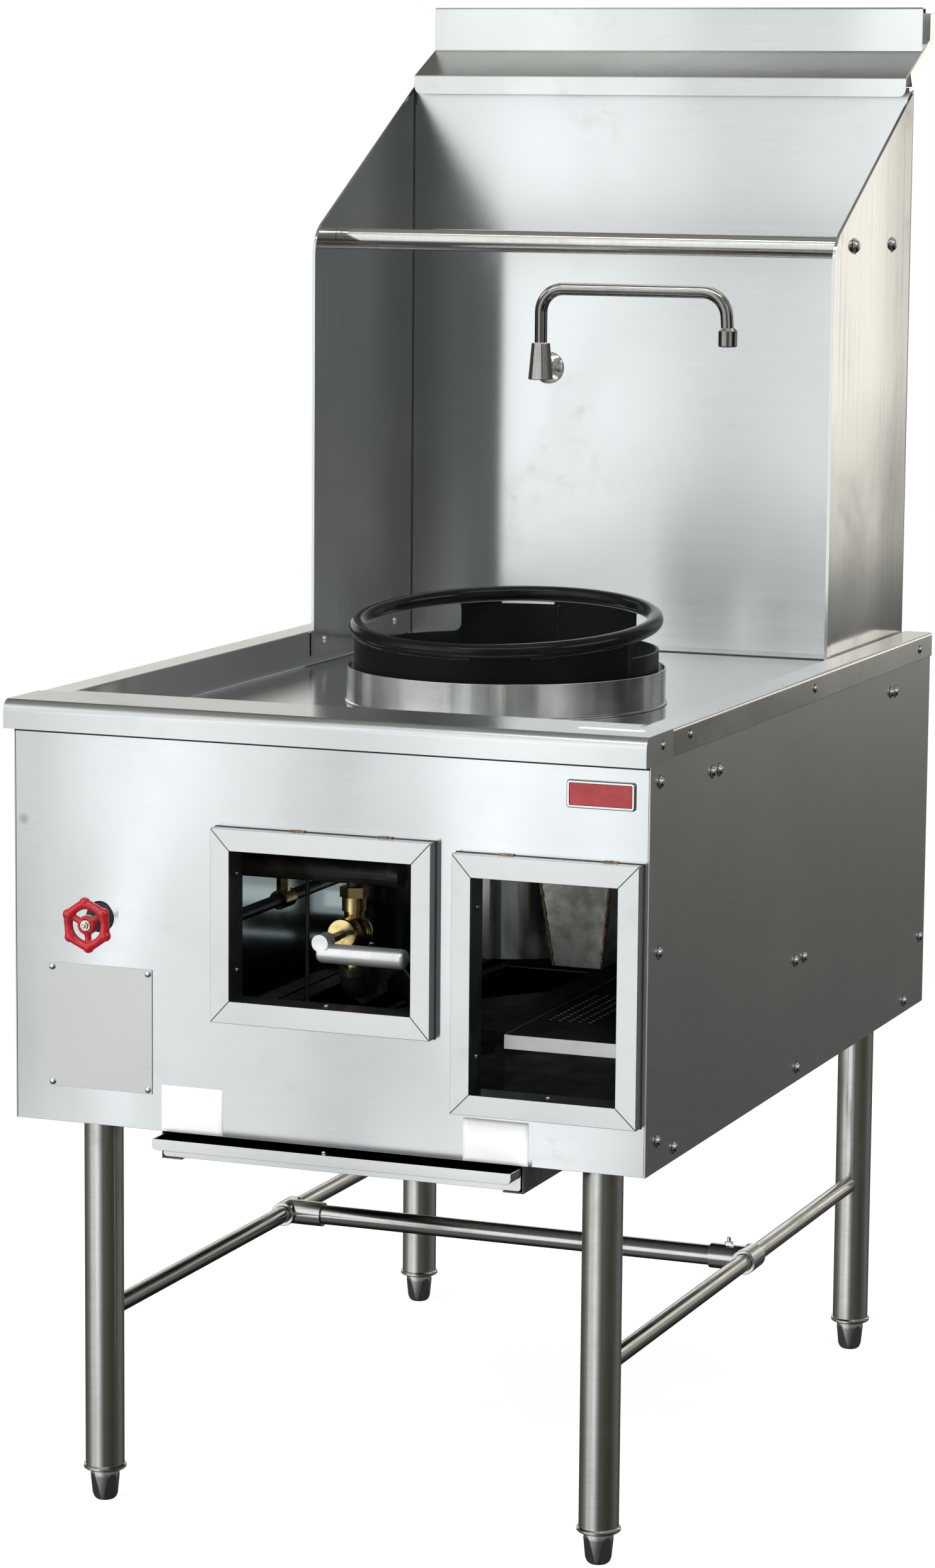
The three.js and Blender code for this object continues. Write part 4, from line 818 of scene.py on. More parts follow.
# ------------------------------------------------------------------ stickers, badge, grommet
def label(name, x0, x1, z0, z1, seed):
    """A blank adhesive label, its lower edge lifting a little."""
    bm = bmesh.new()
    nx, nz = 14, 10
    grid = []
    for i in range(nx + 1):
        row = []
        for k in range(nz + 1):
            u, v = i / nx, k / nz
            lift = 0.16 + 0.35 * max(0, 0.16 - v) / 0.16 * (0.5 + 0.5 * math.sin(5 * u + seed)) + 0.05 * math.sin(9 * u + 3 * v + seed)
            row.append(bm.verts.new(P(x0 + (x1 - x0) * u, PANEL_Y - lift - 0.05, z0 + (z1 - z0) * v)))
        grid.append(row)
    for i in range(nx):
        for k in range(nz):
            bm.faces.new([grid[i][k], grid[i + 1][k], grid[i + 1][k + 1], grid[i][k + 1]])
    o = piece(name, bm, M_LABEL, "range_body", 60)
    s = o.modifiers.new("thick", "SOLIDIFY")
    s.thickness, s.offset = 0.00012, 0
    return o


label("blank_label_left", -180, -111, 423.6, 472, 0.3)
label("blank_label_right", 154, 224, 423.6, 468, 2.1)

# Badge: a silver bezel round a recessed red field.
bm = bmesh.new()
bx0, bx1, bz0, bz1 = 261, 333, 789.7, 818.2


def round_rect(x0, x1, z0, z1, r, n=5):
    out = []
    for cx, cz, a in ((x1 - r, z1 - r, 0), (x0 + r, z1 - r, 90), (x0 + r, z0 + r, 180), (x1 - r, z0 + r, 270)):
        for k in range(n + 1):
            t = math.radians(a + 90 * k / n)
            out.append((cx + r * math.cos(t), cz + r * math.sin(t)))
    return out


def ring_of_loops(bm, loops, close=False):
    rings = [[bm.verts.new(P(x, y, z)) for x, z in pts] for pts, y in loops]
    n = len(rings[0])
    for a, b in zip(rings, rings[1:]):
        for k in range(n):
            bm.faces.new([a[k], a[(k + 1) % n], b[(k + 1) % n], b[k]])
    return rings


rings = ring_of_loops(
    bm,
    [
        (round_rect(bx0, bx1, bz0, bz1, 3.2), PANEL_Y - 0.35),
        (round_rect(bx0, bx1, bz0, bz1, 3.2), PANEL_Y - 1.5),
        (round_rect(bx0 + 0.4, bx1 - 0.4, bz0 + 0.4, bz1 - 0.4, 2.9), PANEL_Y - 2.6),
        (round_rect(bx0 + 1.2, bx1 - 1.2, bz0 + 1.2, bz1 - 1.2, 2.3), PANEL_Y - 3.25),
        (round_rect(bx0 + 2.9, bx1 - 2.9, bz0 + 2.9, bz1 - 2.9, 1.1), PANEL_Y - 3.25),
        (round_rect(bx0 + 3.5, bx1 - 3.5, bz0 + 3.5, bz1 - 3.5, 0.8), PANEL_Y - 2.3),
    ],
)
bm.faces.new(list(reversed(rings[0])))
bm.faces.new(rings[-1])
bezel = piece("badge_bezel", bm, M_CHROME, "range_body", 30)
bm = bmesh.new()
rings = ring_of_loops(
    bm,
    [
        (round_rect(bx0 + 3.4, bx1 - 3.4, bz0 + 3.4, bz1 - 3.4, 0.8), PANEL_Y - 2.2),
        (round_rect(bx0 + 3.4, bx1 - 3.4, bz0 + 3.4, bz1 - 3.4, 0.8), PANEL_Y - 2.5),
        (round_rect(bx0 + 3.7, bx1 - 3.7, bz0 + 3.7, bz1 - 3.7, 0.6), PANEL_Y - 2.7),
    ],
)
bm.faces.new(list(reversed(rings[0])))
bm.faces.new(rings[-1])
field = piece("badge_field", bm, M_BADGE, "range_body", 30)
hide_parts("badge")

# Grommet round the stem hole.
bm = bmesh.new()
lathe(
    bm,
    [(4.8, 23.0), (4.8, 17.8), (5.4, 17.2), (12.0, 17.0), (14.6, 17.6), (15.6, 19.0), (15.6, 19.8), (13.8, 20.4), (13.8, 21.2), (15.4, 21.8), (15.4, 23.0)],
    (-250, 0, 642.0),
    "y",
    48,
    True,
)
piece("stem_grommet", bm, M_RUBBER, "range_body", 40)


# ------------------------------------------------------------------ handwheel
def remeshed(name, bm, voxel, smooth, material, body, replaced=(), decimate=None):
    """Joins overlapping solids into one smooth casting."""
    me = bpy.data.meshes.new(name)
    bmesh.ops.recalc_face_normals(bm, faces=bm.faces)
    bm.to_mesh(me)
    bm.free()
    o = bpy.data.objects.new(name, me)
    SCENE.collection.objects.link(o)
    r = o.modifiers.new("join", "REMESH")
    r.mode, r.voxel_size = "VOXEL", voxel * MM
    s = o.modifiers.new("soft", "SMOOTH")
    s.factor, s.iterations = 0.5, smooth
    if decimate:
        d = o.modifiers.new("less", "DECIMATE")
        d.ratio = decimate
    dg = bpy.context.evaluated_depsgraph_get()
    done = bpy.data.meshes.new_from_object(o.evaluated_get(dg))
    o.modifiers.clear()
    o.data = done
    done.name = name
    done.materials.clear()
    done.materials.append(material)
    done.polygons.foreach_set("use_smooth", [True] * len(done.polygons))
    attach(o, body)
    if replaced:
        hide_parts(*replaced)
    return o


WX, WY, WZ = -250.0, -11.0, 639.0
bm = bmesh.new()
N = 72
rim = []
for k in range(N):
    a = 2 * math.pi * k / N
    lobe = 0.5 + 0.5 * math.cos(6 * (a - math.radians(35)))
    R = 20.6 + 1.0 * lobe
    rr = 4.5 + 0.7 * lobe
    rim.append(
        [
            bm.verts.new(
                P(
                    WX + (R + rr * math.cos(2 * math.pi * j / 16)) * math.cos(a),
                    WY + 1.08 * rr * math.sin(2 * math.pi * j / 16),
                    WZ + (R + rr * math.cos(2 * math.pi * j / 16)) * math.sin(a),
                )
            )
            for j in range(16)
        ]
    )
for k in range(N):
    for j in range(16):
        bm.faces.new([rim[k][j], rim[(k + 1) % N][j], rim[(k + 1) % N][(j + 1) % 16], rim[k][(j + 1) % 16]])
for i in range(6):
    a = math.radians(35 + 60 * i)
    c = P(WX + 23.2 * math.cos(a), WY, WZ + 23.2 * math.sin(a))
    bmesh.ops.create_uvsphere(bm, u_segments=20, v_segments=12, radius=5.9 * MM, matrix=Matrix.Translation(c))
for i in range(3):
    a = math.radians(35 + 120 * i)
    pts, rad = [], []
    for q in range(11):
        t = q / 10
        rr = 5 + 15.5 * t
        pts.append((WX + rr * math.cos(a), WY + 1.0, WZ + rr * math.sin(a)))
        rad.append(5.4 - 1.7 * math.sin(math.pi * t) - 0.6 * t)
    sweep(bm, pts, rad, 16)
lathe(bm, [(0, 7.0), (9.6, 7.0), (10.2, 5.6), (10.2, 1), (9.8, -1.8), (8.6, -3.1), (7.0, -3.3), (5.9, -2.5), (0, -2.3)], (WX, WY, WZ), "y", 40)
wheel = remeshed("handwheel_casting", bm, 0.5, 4, M_RED, "handwheel_body", ("handwheel",), 0.5)
wheel.visible_glossy = False
# Knurled dimples round the hub face.
bm = bmesh.new()
for k in range(14):
    a = 2 * math.pi * k / 14
    lathe(bm, [(0, -0.55), (0.45, -0.45), (0.75, -0.1), (0.8, 0.4), (0, 0.4)], (WX + 7.5 * math.cos(a), WY - 3.15, WZ + 7.5 * math.sin(a)), "y", 8)
piece("handwheel_beads", bm, M_RED, "handwheel_body", 60).visible_glossy = False
# Nut, washer and brass spindle end.
bm = bmesh.new()
hexa = [(4.5 * math.cos(math.radians(60 * k + 12)), 4.5 * math.sin(math.radians(60 * k + 12))) for k in range(6)]
slab(bm, [(WX + x, WZ + z) for x, z in hexa], "y", -18.2, -14.9, 0.45, 3)
lathe(bm, [(5.3, -14.9), (5.5, -14.6), (5.5, -13.9), (0, -13.9), ], (WX, 0, WZ), "y", 32)
lathe(bm, [(0, -14.9), (5.3, -14.9)], (WX, 0, WZ), "y", 32)
piece("handwheel_nut", bm, M_SCREW, "handwheel_body", 30).visible_glossy = False
bm = bmesh.new()
lathe(bm, [(0, -19.9), (1.7, -19.9), (2.3, -19.3), (2.3, -15), (0, -15)], (WX, 0, WZ), "y", 24)
piece("handwheel_spindle_end", bm, M_BRASS, "handwheel_body", 40)

# Locking stud on the right tee clamp.
bm = bmesh.new()
lathe(bm, [(0, 227.5), (1.9, 227.0), (2.3, 226.3), (2.3, 217.9), (0, 217.9)], (256.5, 572, 0), "z", 20)
lathe(bm, [(0, 222.6), (4.4, 222.6), (4.9, 222.0), (4.9, 218.0), (0, 218.0)], (256.5, 572, 0), "z", 6)
piece("tee_stud", bm, M_SCREW, "range_body", 30)


# ------------------------------------------------------------------ wok ring
RX, RY, RZ, RR, Rr, TILT = 7.5, 508.0, 911.9, 164.6, 8.6, math.radians(5.3)
KX, KY, SKIRT = 8.2, 508.3, 167.8


def ring_point(a, b, radius=Rr):
    """A point on the tilted bar: a round the ring, b round the bar."""
    x = (RR + radius * math.cos(b)) * math.cos(a)
    y = (RR + radius * math.cos(b)) * math.sin(a)
    z = radius * math.sin(b)
    y, z = y * math.cos(TILT) - z * math.sin(TILT), y * math.sin(TILT) + z * math.cos(TILT)
    return P(RX + x, RY + y, RZ + z)


bm = bmesh.new()
NA, NB = 192, 32
g = [[bm.verts.new(ring_point(2 * math.pi * i / NA, 2 * math.pi * k / NB)) for k in range(NB)] for i in range(NA)]
for i in range(NA):
    for k in range(NB):
        bm.faces.new([g[i][k], g[(i + 1) % NA][k], g[(i + 1) % NA][(k + 1) % NB], g[i][(k + 1) % NB]])
ring_bar = piece("wok_ring_bar", bm, M_RING, "ring_body", 60)
ring_bar.visible_glossy = False


def under(a):
    return RZ + math.tan(TILT) * SKIRT * math.sin(a)


SLOTS, CORNER = ((129.0, 197.0), (-17.0, 51.0)), 9.0
GAP_ARC = (92.0, 113.0)


def corner_rise(deg, a0, a1):
    """How far a slot's edge is lifted at an angle by its rounded corners."""
    d = min(deg - a0, a1 - deg) * math.radians(1) * SKIRT
    return 0.0 if d >= CORNER else CORNER - math.sqrt(max(CORNER**2 - (CORNER - d) ** 2, 0.0))


def skirt_angles():
    out = set(float(q) for q in range(-20, 340, 2))
    for a0, a1 in SLOTS:
        for q in (0, 10, 20, 30, 40, 50, 60, 70, 80, 90):
            d = math.degrees(CORNER * (1 - math.cos(math.radians(q))) / SKIRT)
            out |= {a0 + d, a1 - d}
    out |= set(GAP_ARC)
    return sorted(out)


def levels(deg):
    """The skirt's heights at an angle: foot, slot floor, slot top, seam floor, seam top, under the bar."""
    top = under(math.radians(deg)) - 2.0
    low, high = 884.0, top - 5.0
    for a0, a1 in SLOTS:
        if a0 <= deg <= a1:
            rise = corner_rise(deg, a0, a1) * 0.97
            return [840.2, 884 + rise, under(math.radians(deg)) - 5.5 - rise, top - 2, top - 1, top]
    if 100 < deg < 128 or 60 < deg < 100:
        high = 905.0
    if GAP_ARC[0] <= deg <= GAP_ARC[1]:
        return [840.2, 884, 905, 914.8, 917.6, top]
    return [840.2, low, high, top - 2, top - 1, top]


bm = bmesh.new()
angs = skirt_angles()
cols = []
for deg in angs:
    a = math.radians(deg)
    cols.append([bm.verts.new(P(KX + SKIRT * math.cos(a), KY + SKIRT * math.sin(a), z)) for z in levels(deg)])
for i, deg in enumerate(angs):
    j = (i + 1) % len(angs)
    mid = deg + 0.01
    for row in range(5):
        if row == 1 and any(a0 <= mid < a1 for a0, a1 in SLOTS):
            continue
        if row == 3 and GAP_ARC[0] <= mid < GAP_ARC[1]:
            continue
        bm.faces.new([cols[i][row], cols[j][row], cols[j][row + 1], cols[i][row + 1]])
me = bpy.data.meshes.new("wok_ring_skirt")
bmesh.ops.recalc_face_normals(bm, faces=bm.faces)
bm.to_mesh(me)
bm.free()
skirt = bpy.data.objects.new("wok_ring_skirt", me)
SCENE.collection.objects.link(skirt)
me.materials.append(M_SKIRT)
n0 = me.polygons[0].normal
c0 = me.polygons[0].center
outward = (c0.x - P(KX, 0, 0).x) * n0.x + (c0.y - P(0, KY, 0).y) * n0.y > 0
t = skirt.modifiers.new("sheet", "SOLIDIFY")
t.thickness, t.offset, t.use_even_offset = 3 * MM, -1 if outward else 1, True
b = skirt.modifiers.new("edge", "BEVEL")
b.width, b.segments, b.limit_method, b.angle_limit = 0.35 * MM, 2, "ANGLE", math.radians(50)
b.use_clamp_overlap = True
shade(skirt, 35)
skirt.visible_glossy = False
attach(skirt, "ring_body")
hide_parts("wok_ring")

# Weld beads where the bar sits on the skirt, and the skirt's upright seam.
bm = bmesh.new()


def bead(bm, path, r, seed):
    pts = []
    radii = []
    for i, p in enumerate(path):
        pts.append(p)
        radii.append(r * (1 + 0.22 * math.sin(2.3 * i + seed) + 0.12 * math.sin(5.1 * i)))
    sweep(bm, pts, radii, 8)


for a0, a1, seed in ((56, 64, 1), (84, 92, 2), (116, 124, 3), (202, 210, 4), (238, 247, 5), (268, 277, 6), (300, 309, 7), (330, 339, 8)):
    path = []
    for i in range(15):
        a = math.radians(a0 + (a1 - a0) * i / 14)
        path.append((KX + (SKIRT + 0.5) * math.cos(a), KY + (SKIRT + 0.5) * math.sin(a), under(a) - 6.3))
    bead(bm, path, 1.7, seed)
bead(bm, [(KX, KY + SKIRT - 3.2, z) for z in range(842, 916, 2)], 1.2, 3)
piece("ring_welds", bm, M_RING, "ring_body", 60)


# ------------------------------------------------------------------ perforated shelf and duct
bm = bmesh.new()
SX0, SX1, SY0, SY1, SZ = 187.5, 343.4, 45.0, 420.0, 550.4
pitch, cols_n, rows_n, hx, hy, hr = 10.7, 5, 14, 203.0, 137.0, 1.5
gx0, gy0 = hx - pitch / 2, hy - pitch / 2
gx1, gy1 = gx0 + pitch * cols_n, gy0 + pitch * rows_n


def flat(points):
    bm.faces.new([bm.verts.new(P(x, y, SZ)) for x, y in points])


for i in range(cols_n):
    for k in range(rows_n):
        cx, cy = hx + pitch * i, hy + pitch * k
        h = pitch / 2
        rim_ = [(cx + hr * math.cos(math.pi * q / 4), cy + hr * math.sin(math.pi * q / 4)) for q in range(8)]
        sq = [(cx + h, cy), (cx + h, cy + h), (cx, cy + h), (cx - h, cy + h), (cx - h, cy), (cx - h, cy - h), (cx, cy - h), (cx + h, cy - h)]
        for q in range(8):
            r_ = (q + 1) % 8
            flat([rim_[q], sq[q], sq[r_], rim_[r_]])
for x0, x1, y0, y1 in ((SX0, gx0, SY0, SY1), (gx1, SX1, SY0, SY1), (gx0, gx1, SY0, gy0), (gx0, gx1, gy1, SY1)):
    flat([(x0, y0), (x1, y0), (x1, y1), (x0, y1)])
bmesh.ops.remove_doubles(bm, verts=bm.verts, dist=1e-6)
me = bpy.data.meshes.new("shelf_sheet")
bmesh.ops.recalc_face_normals(bm, faces=bm.faces)
if bm.faces[0].normal.z < 0:
    bmesh.ops.reverse_faces(bm, faces=bm.faces)
bm.to_mesh(me)
bm.free()
sheet = bpy.data.objects.new("shelf_sheet", me)
SCENE.collection.objects.link(sheet)
me.materials.append(M_BLACK_MATT)
t = sheet.modifiers.new("sheet", "SOLIDIFY")
t.thickness, t.offset = 1.4 * MM, -1
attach(sheet, "range_body")
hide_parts("perforated_shelf")
bm = bmesh.new()
block(bm, SX0, SX1 - 1.6, SY0 - 0.3, SY0 + 1.1, SZ - 14.2, SZ + 0.25, 0.35)
piece("shelf_front_lip", bm, M_RAW, "range_body", 30)
bm = bmesh.new()
block(bm, SX1 - 1.4, SX1, SY0 + 1.4, SY1, SZ - 1, SZ + 30, 0.3)
block(bm, 148, SX0 + 1, SY0 + 20, SY1, SZ - 3, SZ - 1.6, 0.3)
piece("shelf_flanges", bm, M_BLACK_MATT, "range_body", 30)
bm = bmesh.new()
block(bm, SX0 - 0.2, SX0 + 0.9, SY0 + 1.4, SY1, SZ - 1.2, SZ + 0.3, 0.3)
piece("shelf_left_edge", bm, M_RAW, "range_body", 30)

# The duct takes the pale tint of painted light in place of the dull steel.
NODES["air_duct"].data.materials.clear()
NODES["air_duct"].data.materials.append(M_DUCT_LIGHT_PAINTED)
bm = bmesh.new()
for lo, hi, seed in (
    ((170.9, 229.2, 588.5), (137.4, 210.2, 821.8), 1),
    ((224.2, 229.2, 588.5), (252.6, 210.2, 821.8), 4),
    ((224.2, 280.8, 588.5), (252.6, 313.8, 821.8), 7),
    ((170.9, 280.8, 588.5), (137.4, 313.8, 821.8), 9),
):
    a, b = Vector(lo), Vector(hi)
    bead(bm, [tuple(a.lerp(b, q / 60) + Vector((0.35 * math.sin(1.7 * q + seed), 0, 0))) for q in range(61)], 1.9, seed)
piece("duct_welds", bm, M_WELD, "range_body", 60)

# ------------------------------------------------------------------ painted shadow lines at seams and edges, and welds
# Near-black strips round each window frame: painted shadow in the gap between frame and panel.
bm = bmesh.new()
for side in FRAMES:
    (x0, z0, x1, z1), _ = FRAMES[side]
    e = 0.9
    block(bm, x0 - e, x1 + e, 19.3, 19.75, z0 - e, z0 + 0.4)
    block(bm, x0 - e, x1 + e, 19.3, 19.75, z1 - 0.4, z1 + e)
    block(bm, x0 - e, x0 + 0.4, 19.3, 19.75, z0, z1)
    block(bm, x1 - 0.4, x1 + e, 19.3, 19.75, z0, z1)
piece("frame_painted_shadow_lines", bm, M_SHADOW_PAINTED, "range_body", 30)
bm = bmesh.new()
for side in FRAMES:
    (x0, z0, x1, z1), _ = FRAMES[side]
    for i, (x, z) in enumerate(((x0 + 1, z1 - 1), (x1 - 1, z1 - 1), (x1 - 1, z0 + 1), (x0 + 1, z0 + 1))):
        bead(bm, [(x, y, z) for y in (6.5, 8.5, 10.5, 12.5, 14.5, 16.5, 18.5)], 1.3, i)
piece("frame_corner_welds", bm, M_WELD, "range_body", 60)
bm = bmesh.new()
for x, z0, z1 in ((-36, 746.0, 748.0), (60, 746.0, 748.0), (190, 737.5, 739.5), (300, 737.5, 739.5)):
    bead(bm, [(x + q, 18.6, z0 + 0.4) for q in range(0, 18, 2)], 1.2, x)
piece("frame_tack_welds", bm, M_WELD, "range_body", 60)


# Near-black strips: painted shadow in the corner of the left wing and the back sheet, along the deck's rear edge, under
# the front apron and under the side flanges.
bm = bmesh.new()
block(bm, -312.2, -311.1, 1013.3, 1014.45, DECK_Z, 1500)
block(bm, -311.4, 311.4, 1013.2, 1014.45, DECK_Z + 0.02, DECK_Z + 1.1)
block(bm, -347, 347, 19.3, 19.9, RIM_Z - 34.4, RIM_Z - 30.0)
for sign in (1, -1):
    block(bm, 347.9 * sign, 348.35 * sign, 21, 1012, RIM_Z - 28.9, RIM_Z - 27.6)
piece("sheet_painted_shadow_lines", bm, M_SHADOW_PAINTED, "range_body", 30)
bm = bmesh.new()
block(bm, -300, -150, 1000, 1004, 447, 475, 0.6)
block(bm, -252, -227, 1000.5, 1004, 430, 640, 0.6)
piece("rear_brace", bm, M_BLACK, "range_body", 30)
# White rings round the shelf holes: painted light at each hole.
bm = bmesh.new()
for i in range(cols_n):
    for k in range(rows_n):
        cx, cy = hx + pitch * i, hy + pitch * k
        ring_in = [bm.verts.new(P(cx + 0.95 * math.cos(math.pi * q / 5), cy + 0.95 * math.sin(math.pi * q / 5), SZ + 0.08)) for q in range(10)]
        ring_out = [bm.verts.new(P(cx + 1.75 * math.cos(math.pi * q / 5), cy + 1.75 * math.sin(math.pi * q / 5), SZ + 0.03)) for q in range(10)]
        for q in range(10):
            bm.faces.new([ring_in[q], ring_out[q], ring_out[(q + 1) % 10], ring_in[(q + 1) % 10]])
piece("shelf_hole_painted_light_rings", bm, M_LABEL, "range_body", 60)
bm = bmesh.new()
slab(bm, round_rect(262, 332, 42, 54, 5.0), "z", RIM_Z + 0.03, RIM_Z + 0.16)
piece("blank_film_strip", bm, M_LABEL, "range_body", 30)


# ------------------------------------------------------------------ floor, world and lights
def floor_disc():
    bm = bmesh.new()
    bmesh.ops.create_circle(bm, cap_ends=True, segments=128, radius=3.2)
    me = bpy.data.meshes.new("floor")
    bm.to_mesh(me)
    bm.free()
    o = bpy.data.objects.new("floor", me)
    o.location = (0, 0, -0.0005)
    SCENE.collection.objects.link(o)
    w = Mat("floor_pale")
    n = w.noise(w.scaled(3, 3, 3), 1, 3, 0.5)
    w.link(w.mix(n, (0.24, 0.245, 0.25), (0.28, 0.28, 0.28)), w.b.inputs["Base Color"])
    w.set(Roughness=0.8, Specular_IOR_Level=0.2, Emission_Color=(1, 1, 1, 1), Emission_Strength=FLOOR_GLOW)
    # The paper sweep melts into the background at its edge.
    d = w.new("ShaderNodeVectorMath")
    d.operation = "LENGTH"
    w.link(w.co, d.inputs[0])
    w.link(w.remap(d.outputs["Value"], 1.5, 3.0, 1, 0, True), w.b.inputs["Alpha"])
    me.materials.append(w.m)
    o.visible_glossy = False
    return o


FLOOR_GLOW = 0.88
floor_disc()

world = bpy.data.worlds.new("World")
SCENE.world = world
world.use_nodes = True
wt = world.node_tree
wt.nodes.clear()
out = wt.nodes.new("ShaderNodeOutputWorld")
seen = wt.nodes.new("ShaderNodeBackground")
seen.inputs["Color"].default_value = (1, 1, 1, 1)
seen.inputs["Strength"].default_value = 1.0
lit = wt.nodes.new("ShaderNodeBackground")
tc = wt.nodes.new("ShaderNodeTexCoord")
sep = wt.nodes.new("ShaderNodeSeparateXYZ")
wt.links.new(tc.outputs["Generated"], sep.inputs[0])


def wmath(op, *args):
    n = wt.nodes.new("ShaderNodeMath")
    n.operation = op
    for i, v in enumerate(args):
        if isinstance(v, (int, float)):
            n.inputs[i].default_value = v
        else:
            wt.links.new(v, n.inputs[i])
    return n.outputs[0]


def wramp(v, a, b, lo, hi):
    n = wt.nodes.new("ShaderNodeMapRange")
    n.interpolation_type = "SMOOTHSTEP"
    for k, q in (("From Min", a), ("From Max", b), ("To Min", lo), ("To Max", hi)):
        n.inputs[k].default_value = q
    wt.links.new(v, n.inputs["Value"])
    return n.outputs["Result"]


RAMP_TOP = 2.0


def by_azimuth(stops, lo=-180.0, hi=180.0):
    """The room over the azimuth: degrees from the front towards the left."""
    n = wt.nodes.new("ShaderNodeValToRGB")
    r = n.color_ramp
    r.interpolation = "EASE"
    while len(r.elements) > 1:
        r.elements.remove(r.elements[-1])
    for i, (deg, level, hue) in enumerate(stops):
        at = (deg - lo) / (hi - lo)
        e = r.elements[0] if i == 0 else r.elements.new(at)
        e.position = at
        e.color = (*(level / RAMP_TOP * q for q in hue), 1)
    wt.links.new(wmath("DIVIDE", wmath("SUBTRACT", wmath("MULTIPLY", azimuth, 180 / math.pi), lo), hi - lo), n.inputs["Fac"])
    return n.outputs["Color"]


X, Y, Z = sep.outputs[0], sep.outputs[1], sep.outputs[2]
azimuth = wmath("ARCTAN2", wmath("MULTIPLY", X, -1.0), wmath("MULTIPLY", Y, -1.0))
# The room at eye height, and its lower part.
COOL, WARM, MUD, GREY = (0.95, 0.99, 1.0), (1.0, 0.955, 0.86), (1.0, 0.96, 0.72), (0.98, 1.0, 0.97)
COLD = (0.84, 0.97, 1.0)
FRONT = [(8, 0.97, COOL), (15, 1.04, COOL), (28, 1.04, COOL), (40, 0.85, GREY), (55, 0.78, GREY), (68, 0.35, GREY), (90, 0.16, GREY), (120, 0.1, MUD), (159, 0.09, MUD)]
MID = [
    (-180, 0.2, WARM), (-171, 0.3, WARM), (-166.2, 0.6, WARM), (-164.6, 1.75, WARM), (-163.2, 1.75, WARM), (-161.6, 0.9, WARM), (-159.5, 0.25, WARM), (-148, 0.2, GREY), (-135, 0.26, GREY), (-112, 0.16, GREY),
    (-93, 0.14, MUD), (-62, 0.2, GREY), (-34, 0.34, GREY), (-28, 0.3, GREY), (-24, 0.14, COLD), (-18, 0.13, COLD), (-12, 0.22, COOL), (0, 0.5, COOL),
]
LOW = [
    (-180, 0.075, GREY), (-158, 0.085, GREY), (-140, 0.17, GREY), (-118, 0.15, GREY), (-95, 0.08, GREY), (-75, 0.055, MUD), (-45, 0.08, MUD), (-30, 0.11, GREY), (-21, 0.125, COLD), (-12, 0.24, COOL),
    (-2, 0.5, COOL),
]
middle = by_azimuth(MID + FRONT[:3] + [(40, 1.25, GREY), (55, 1.2, GREY), (66, 0.6, GREY)] + FRONT[6:])
lower = by_azimuth(LOW + FRONT)
PLAIN = (1.0, 1.0, 1.0)
# Tall windows and posts of the room, in front and a little to the left.
posts = by_azimuth(
    [
        (13.5, 1.0, PLAIN), (15.2, 1.5, PLAIN), (16.3, 1.5, PLAIN), (17.5, 0.5, PLAIN), (18.3, 0.62, PLAIN), (19.4, 1.15, PLAIN), (20.3, 1.6, PLAIN), (21.6, 1.4, PLAIN),
        (22.6, 0.72, PLAIN), (23.2, 0.42, PLAIN), (24.2, 1.7, PLAIN), (24.8, 0.4, PLAIN), (25.8, 2.0, PLAIN), (26.8, 0.95, PLAIN), (27.6, 0.6, PLAIN), (31, 1.0, PLAIN),
    ],
    12.0,
    32.0,
)


def wvec(op, a, b=None, scale=None):
    n = wt.nodes.new("ShaderNodeVectorMath")
    n.operation = op
    for i, v in enumerate((a, b)):
        if v is None:
            continue
        if isinstance(v, tuple):
            n.inputs[i].default_value = v
        else:
            wt.links.new(v, n.inputs[i])
    if isinstance(scale, float):
        n.inputs["Scale"].default_value = scale
    elif scale is not None:
        wt.links.new(scale, n.inputs["Scale"])
    return n.outputs["Vector"]


split = wramp(Z, -0.115, -0.06, 0, 1)
level = wvec("ADD", wvec("SCALE", lower, None, wmath("SUBTRACT", 1.0, split)), wvec("SCALE", middle, None, split))
level = wvec("SCALE", wvec("MULTIPLY", level, posts), None, RAMP_TOP)
roof = wramp(Z, 0.56, 0.92, 0, 1)
level = wvec("SCALE", level, None, wmath("SUBTRACT", 1.0, roof))
level = wvec("ADD", level, wvec("SCALE", (0.12, 0.122, 0.115), None, roof))
strip = wmath("MULTIPLY", wramp(Z, 0.955, 0.97, 0, 1), wramp(Z, 0.985, 0.995, 1, 0))
level = wvec("ADD", level, wvec("SCALE", (0.15, 0.15, 0.145), None, strip))
# A pale wall behind, to the left.
wall = wmath("MULTIPLY", wramp(Z, 0.05, 0.1, 0, 1), wramp(Z, 0.3, 0.42, 1, 0))
wall = wmath("MULTIPLY", wall, wramp(azimuth, 2.0, 2.25, 0, 1))
level = wvec("ADD", level, wvec("SCALE", (0.42, 0.42, 0.41), None, wall))
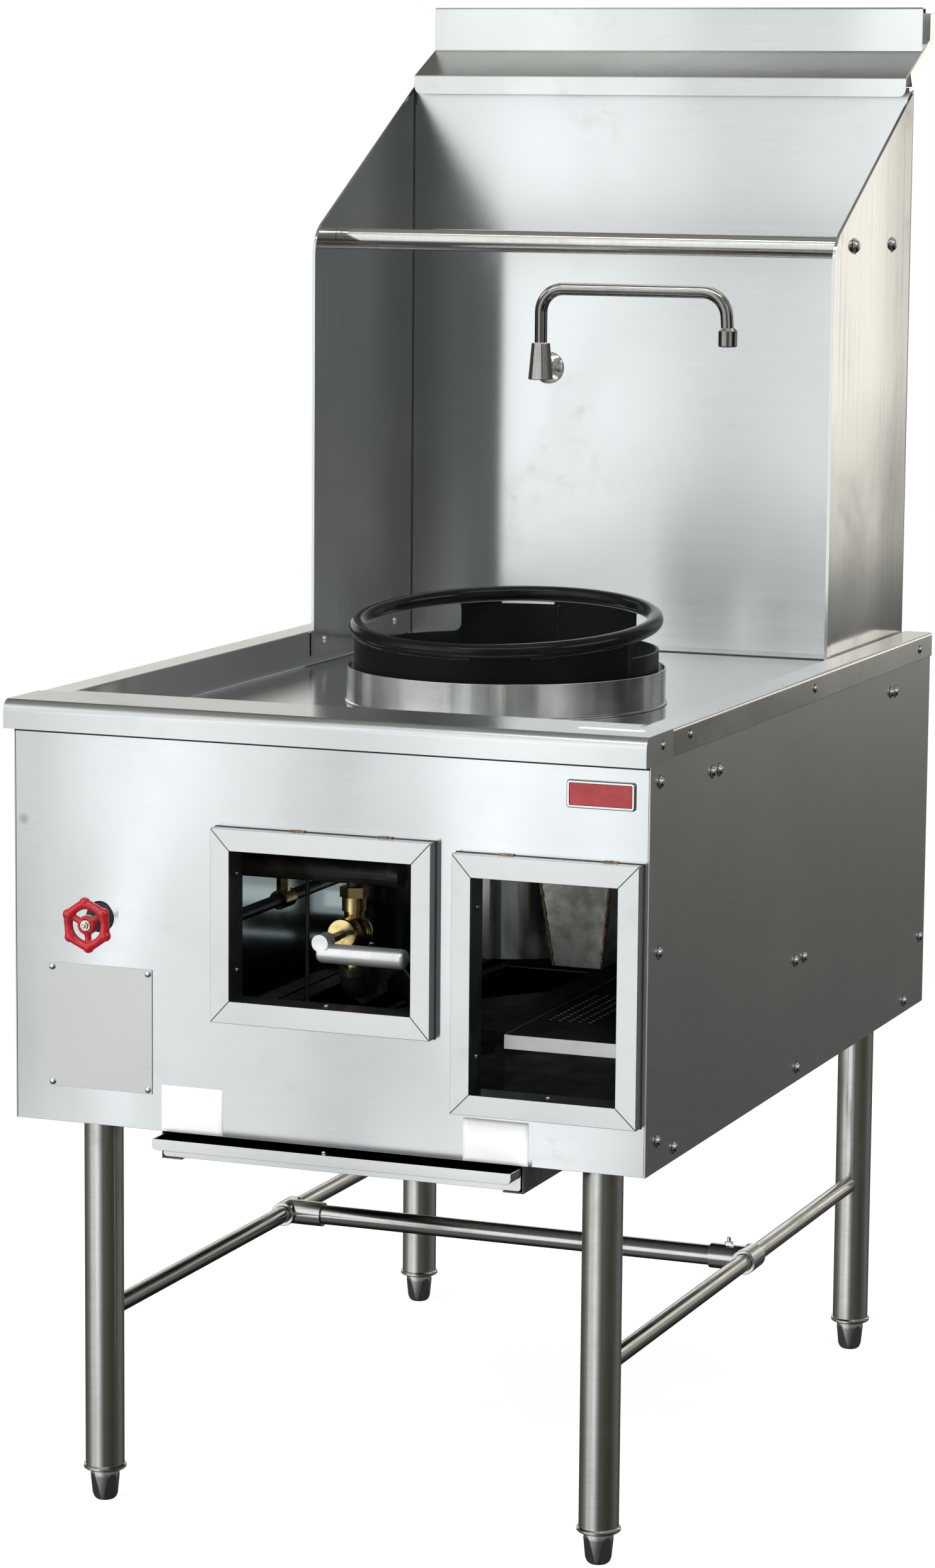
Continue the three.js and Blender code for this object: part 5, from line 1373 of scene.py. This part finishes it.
# A row of lamps high in front.
lamps = wmath("MULTIPLY", wramp(Z, 0.80, 0.815, 0, 1), wramp(Z, 0.845, 0.86, 1, 0))
lamps = wmath("MULTIPLY", lamps, wramp(wmath("ABSOLUTE", wmath("ADD", azimuth, 0.2)), 0.75, 1.0, 1, 0))
level = wvec("ADD", level, wvec("SCALE", (3.0, 3.0, 3.0), None, lamps))
side = wmath("MULTIPLY", wramp(Z, 0.3, 0.36, 0, 1), wramp(Z, 0.52, 0.6, 1, 0))
side = wmath("MULTIPLY", side, wramp(wmath("ABSOLUTE", wmath("ADD", azimuth, 1.5)), 0.3, 0.5, 1, 0))
level = wvec("ADD", level, wvec("SCALE", (1.0, 1.04, 1.08), None, side))
level = wvec("SCALE", level, None, wramp(Z, -0.46, -0.2, 0.14, 1))
wt.links.new(level, lit.inputs["Color"])
lit.inputs["Strength"].default_value = RAMP_TOP
lp = wt.nodes.new("ShaderNodeLightPath")
mixs = wt.nodes.new("ShaderNodeMixShader")
wt.links.new(lp.outputs["Is Camera Ray"], mixs.inputs["Fac"])
wt.links.new(lit.outputs[0], mixs.inputs[1])
wt.links.new(seen.outputs[0], mixs.inputs[2])
wt.links.new(mixs.outputs[0], out.inputs["Surface"])


def area(name, at, to, size, power, color=(1, 1, 1), glossy=False):
    d = bpy.data.lights.new(name, "AREA")
    d.shape = "RECTANGLE"
    d.size, d.size_y = size
    d.energy = power
    d.color = color
    o = bpy.data.objects.new(name, d)
    o.location = at
    v = Vector(to) - Vector(at)
    o.rotation_euler = v.to_track_quat("-Z", "Y").to_euler()
    o.visible_glossy, o.visible_camera = glossy, False
    SCENE.collection.objects.link(o)
    return o


area("key_front_left", (-2.8, -3.4, 3.0), (0, 0, 0.8), (2.4, 2.4), 110)
area("fill_front_right", (3.0, -3.2, 2.4), (0, 0, 0.7), (2.4, 2.4), 60)
area("top_soft", (0.2, -0.2, 4.2), (0, 0, 0.0), (3.2, 3.2), 100)
area("rear_glow", (0.0, 0.66, 0.44), (0.0, 0.0, 0.52), (0.62, 0.22), 0.08, color=(0.8, 1.0, 1.0), glossy=True)
area("rear_left", P(-175, 1008, 520), P(-175, 0, 520), (0.32, 0.16), 0.05, color=(0.8, 0.97, 1.0), glossy=True)
SCENE.view_settings.view_transform = "Standard"
SCENE.view_settings.exposure = 0.0

# ------------------------------------------------------------------ scene update
bpy.context.view_layer.update()
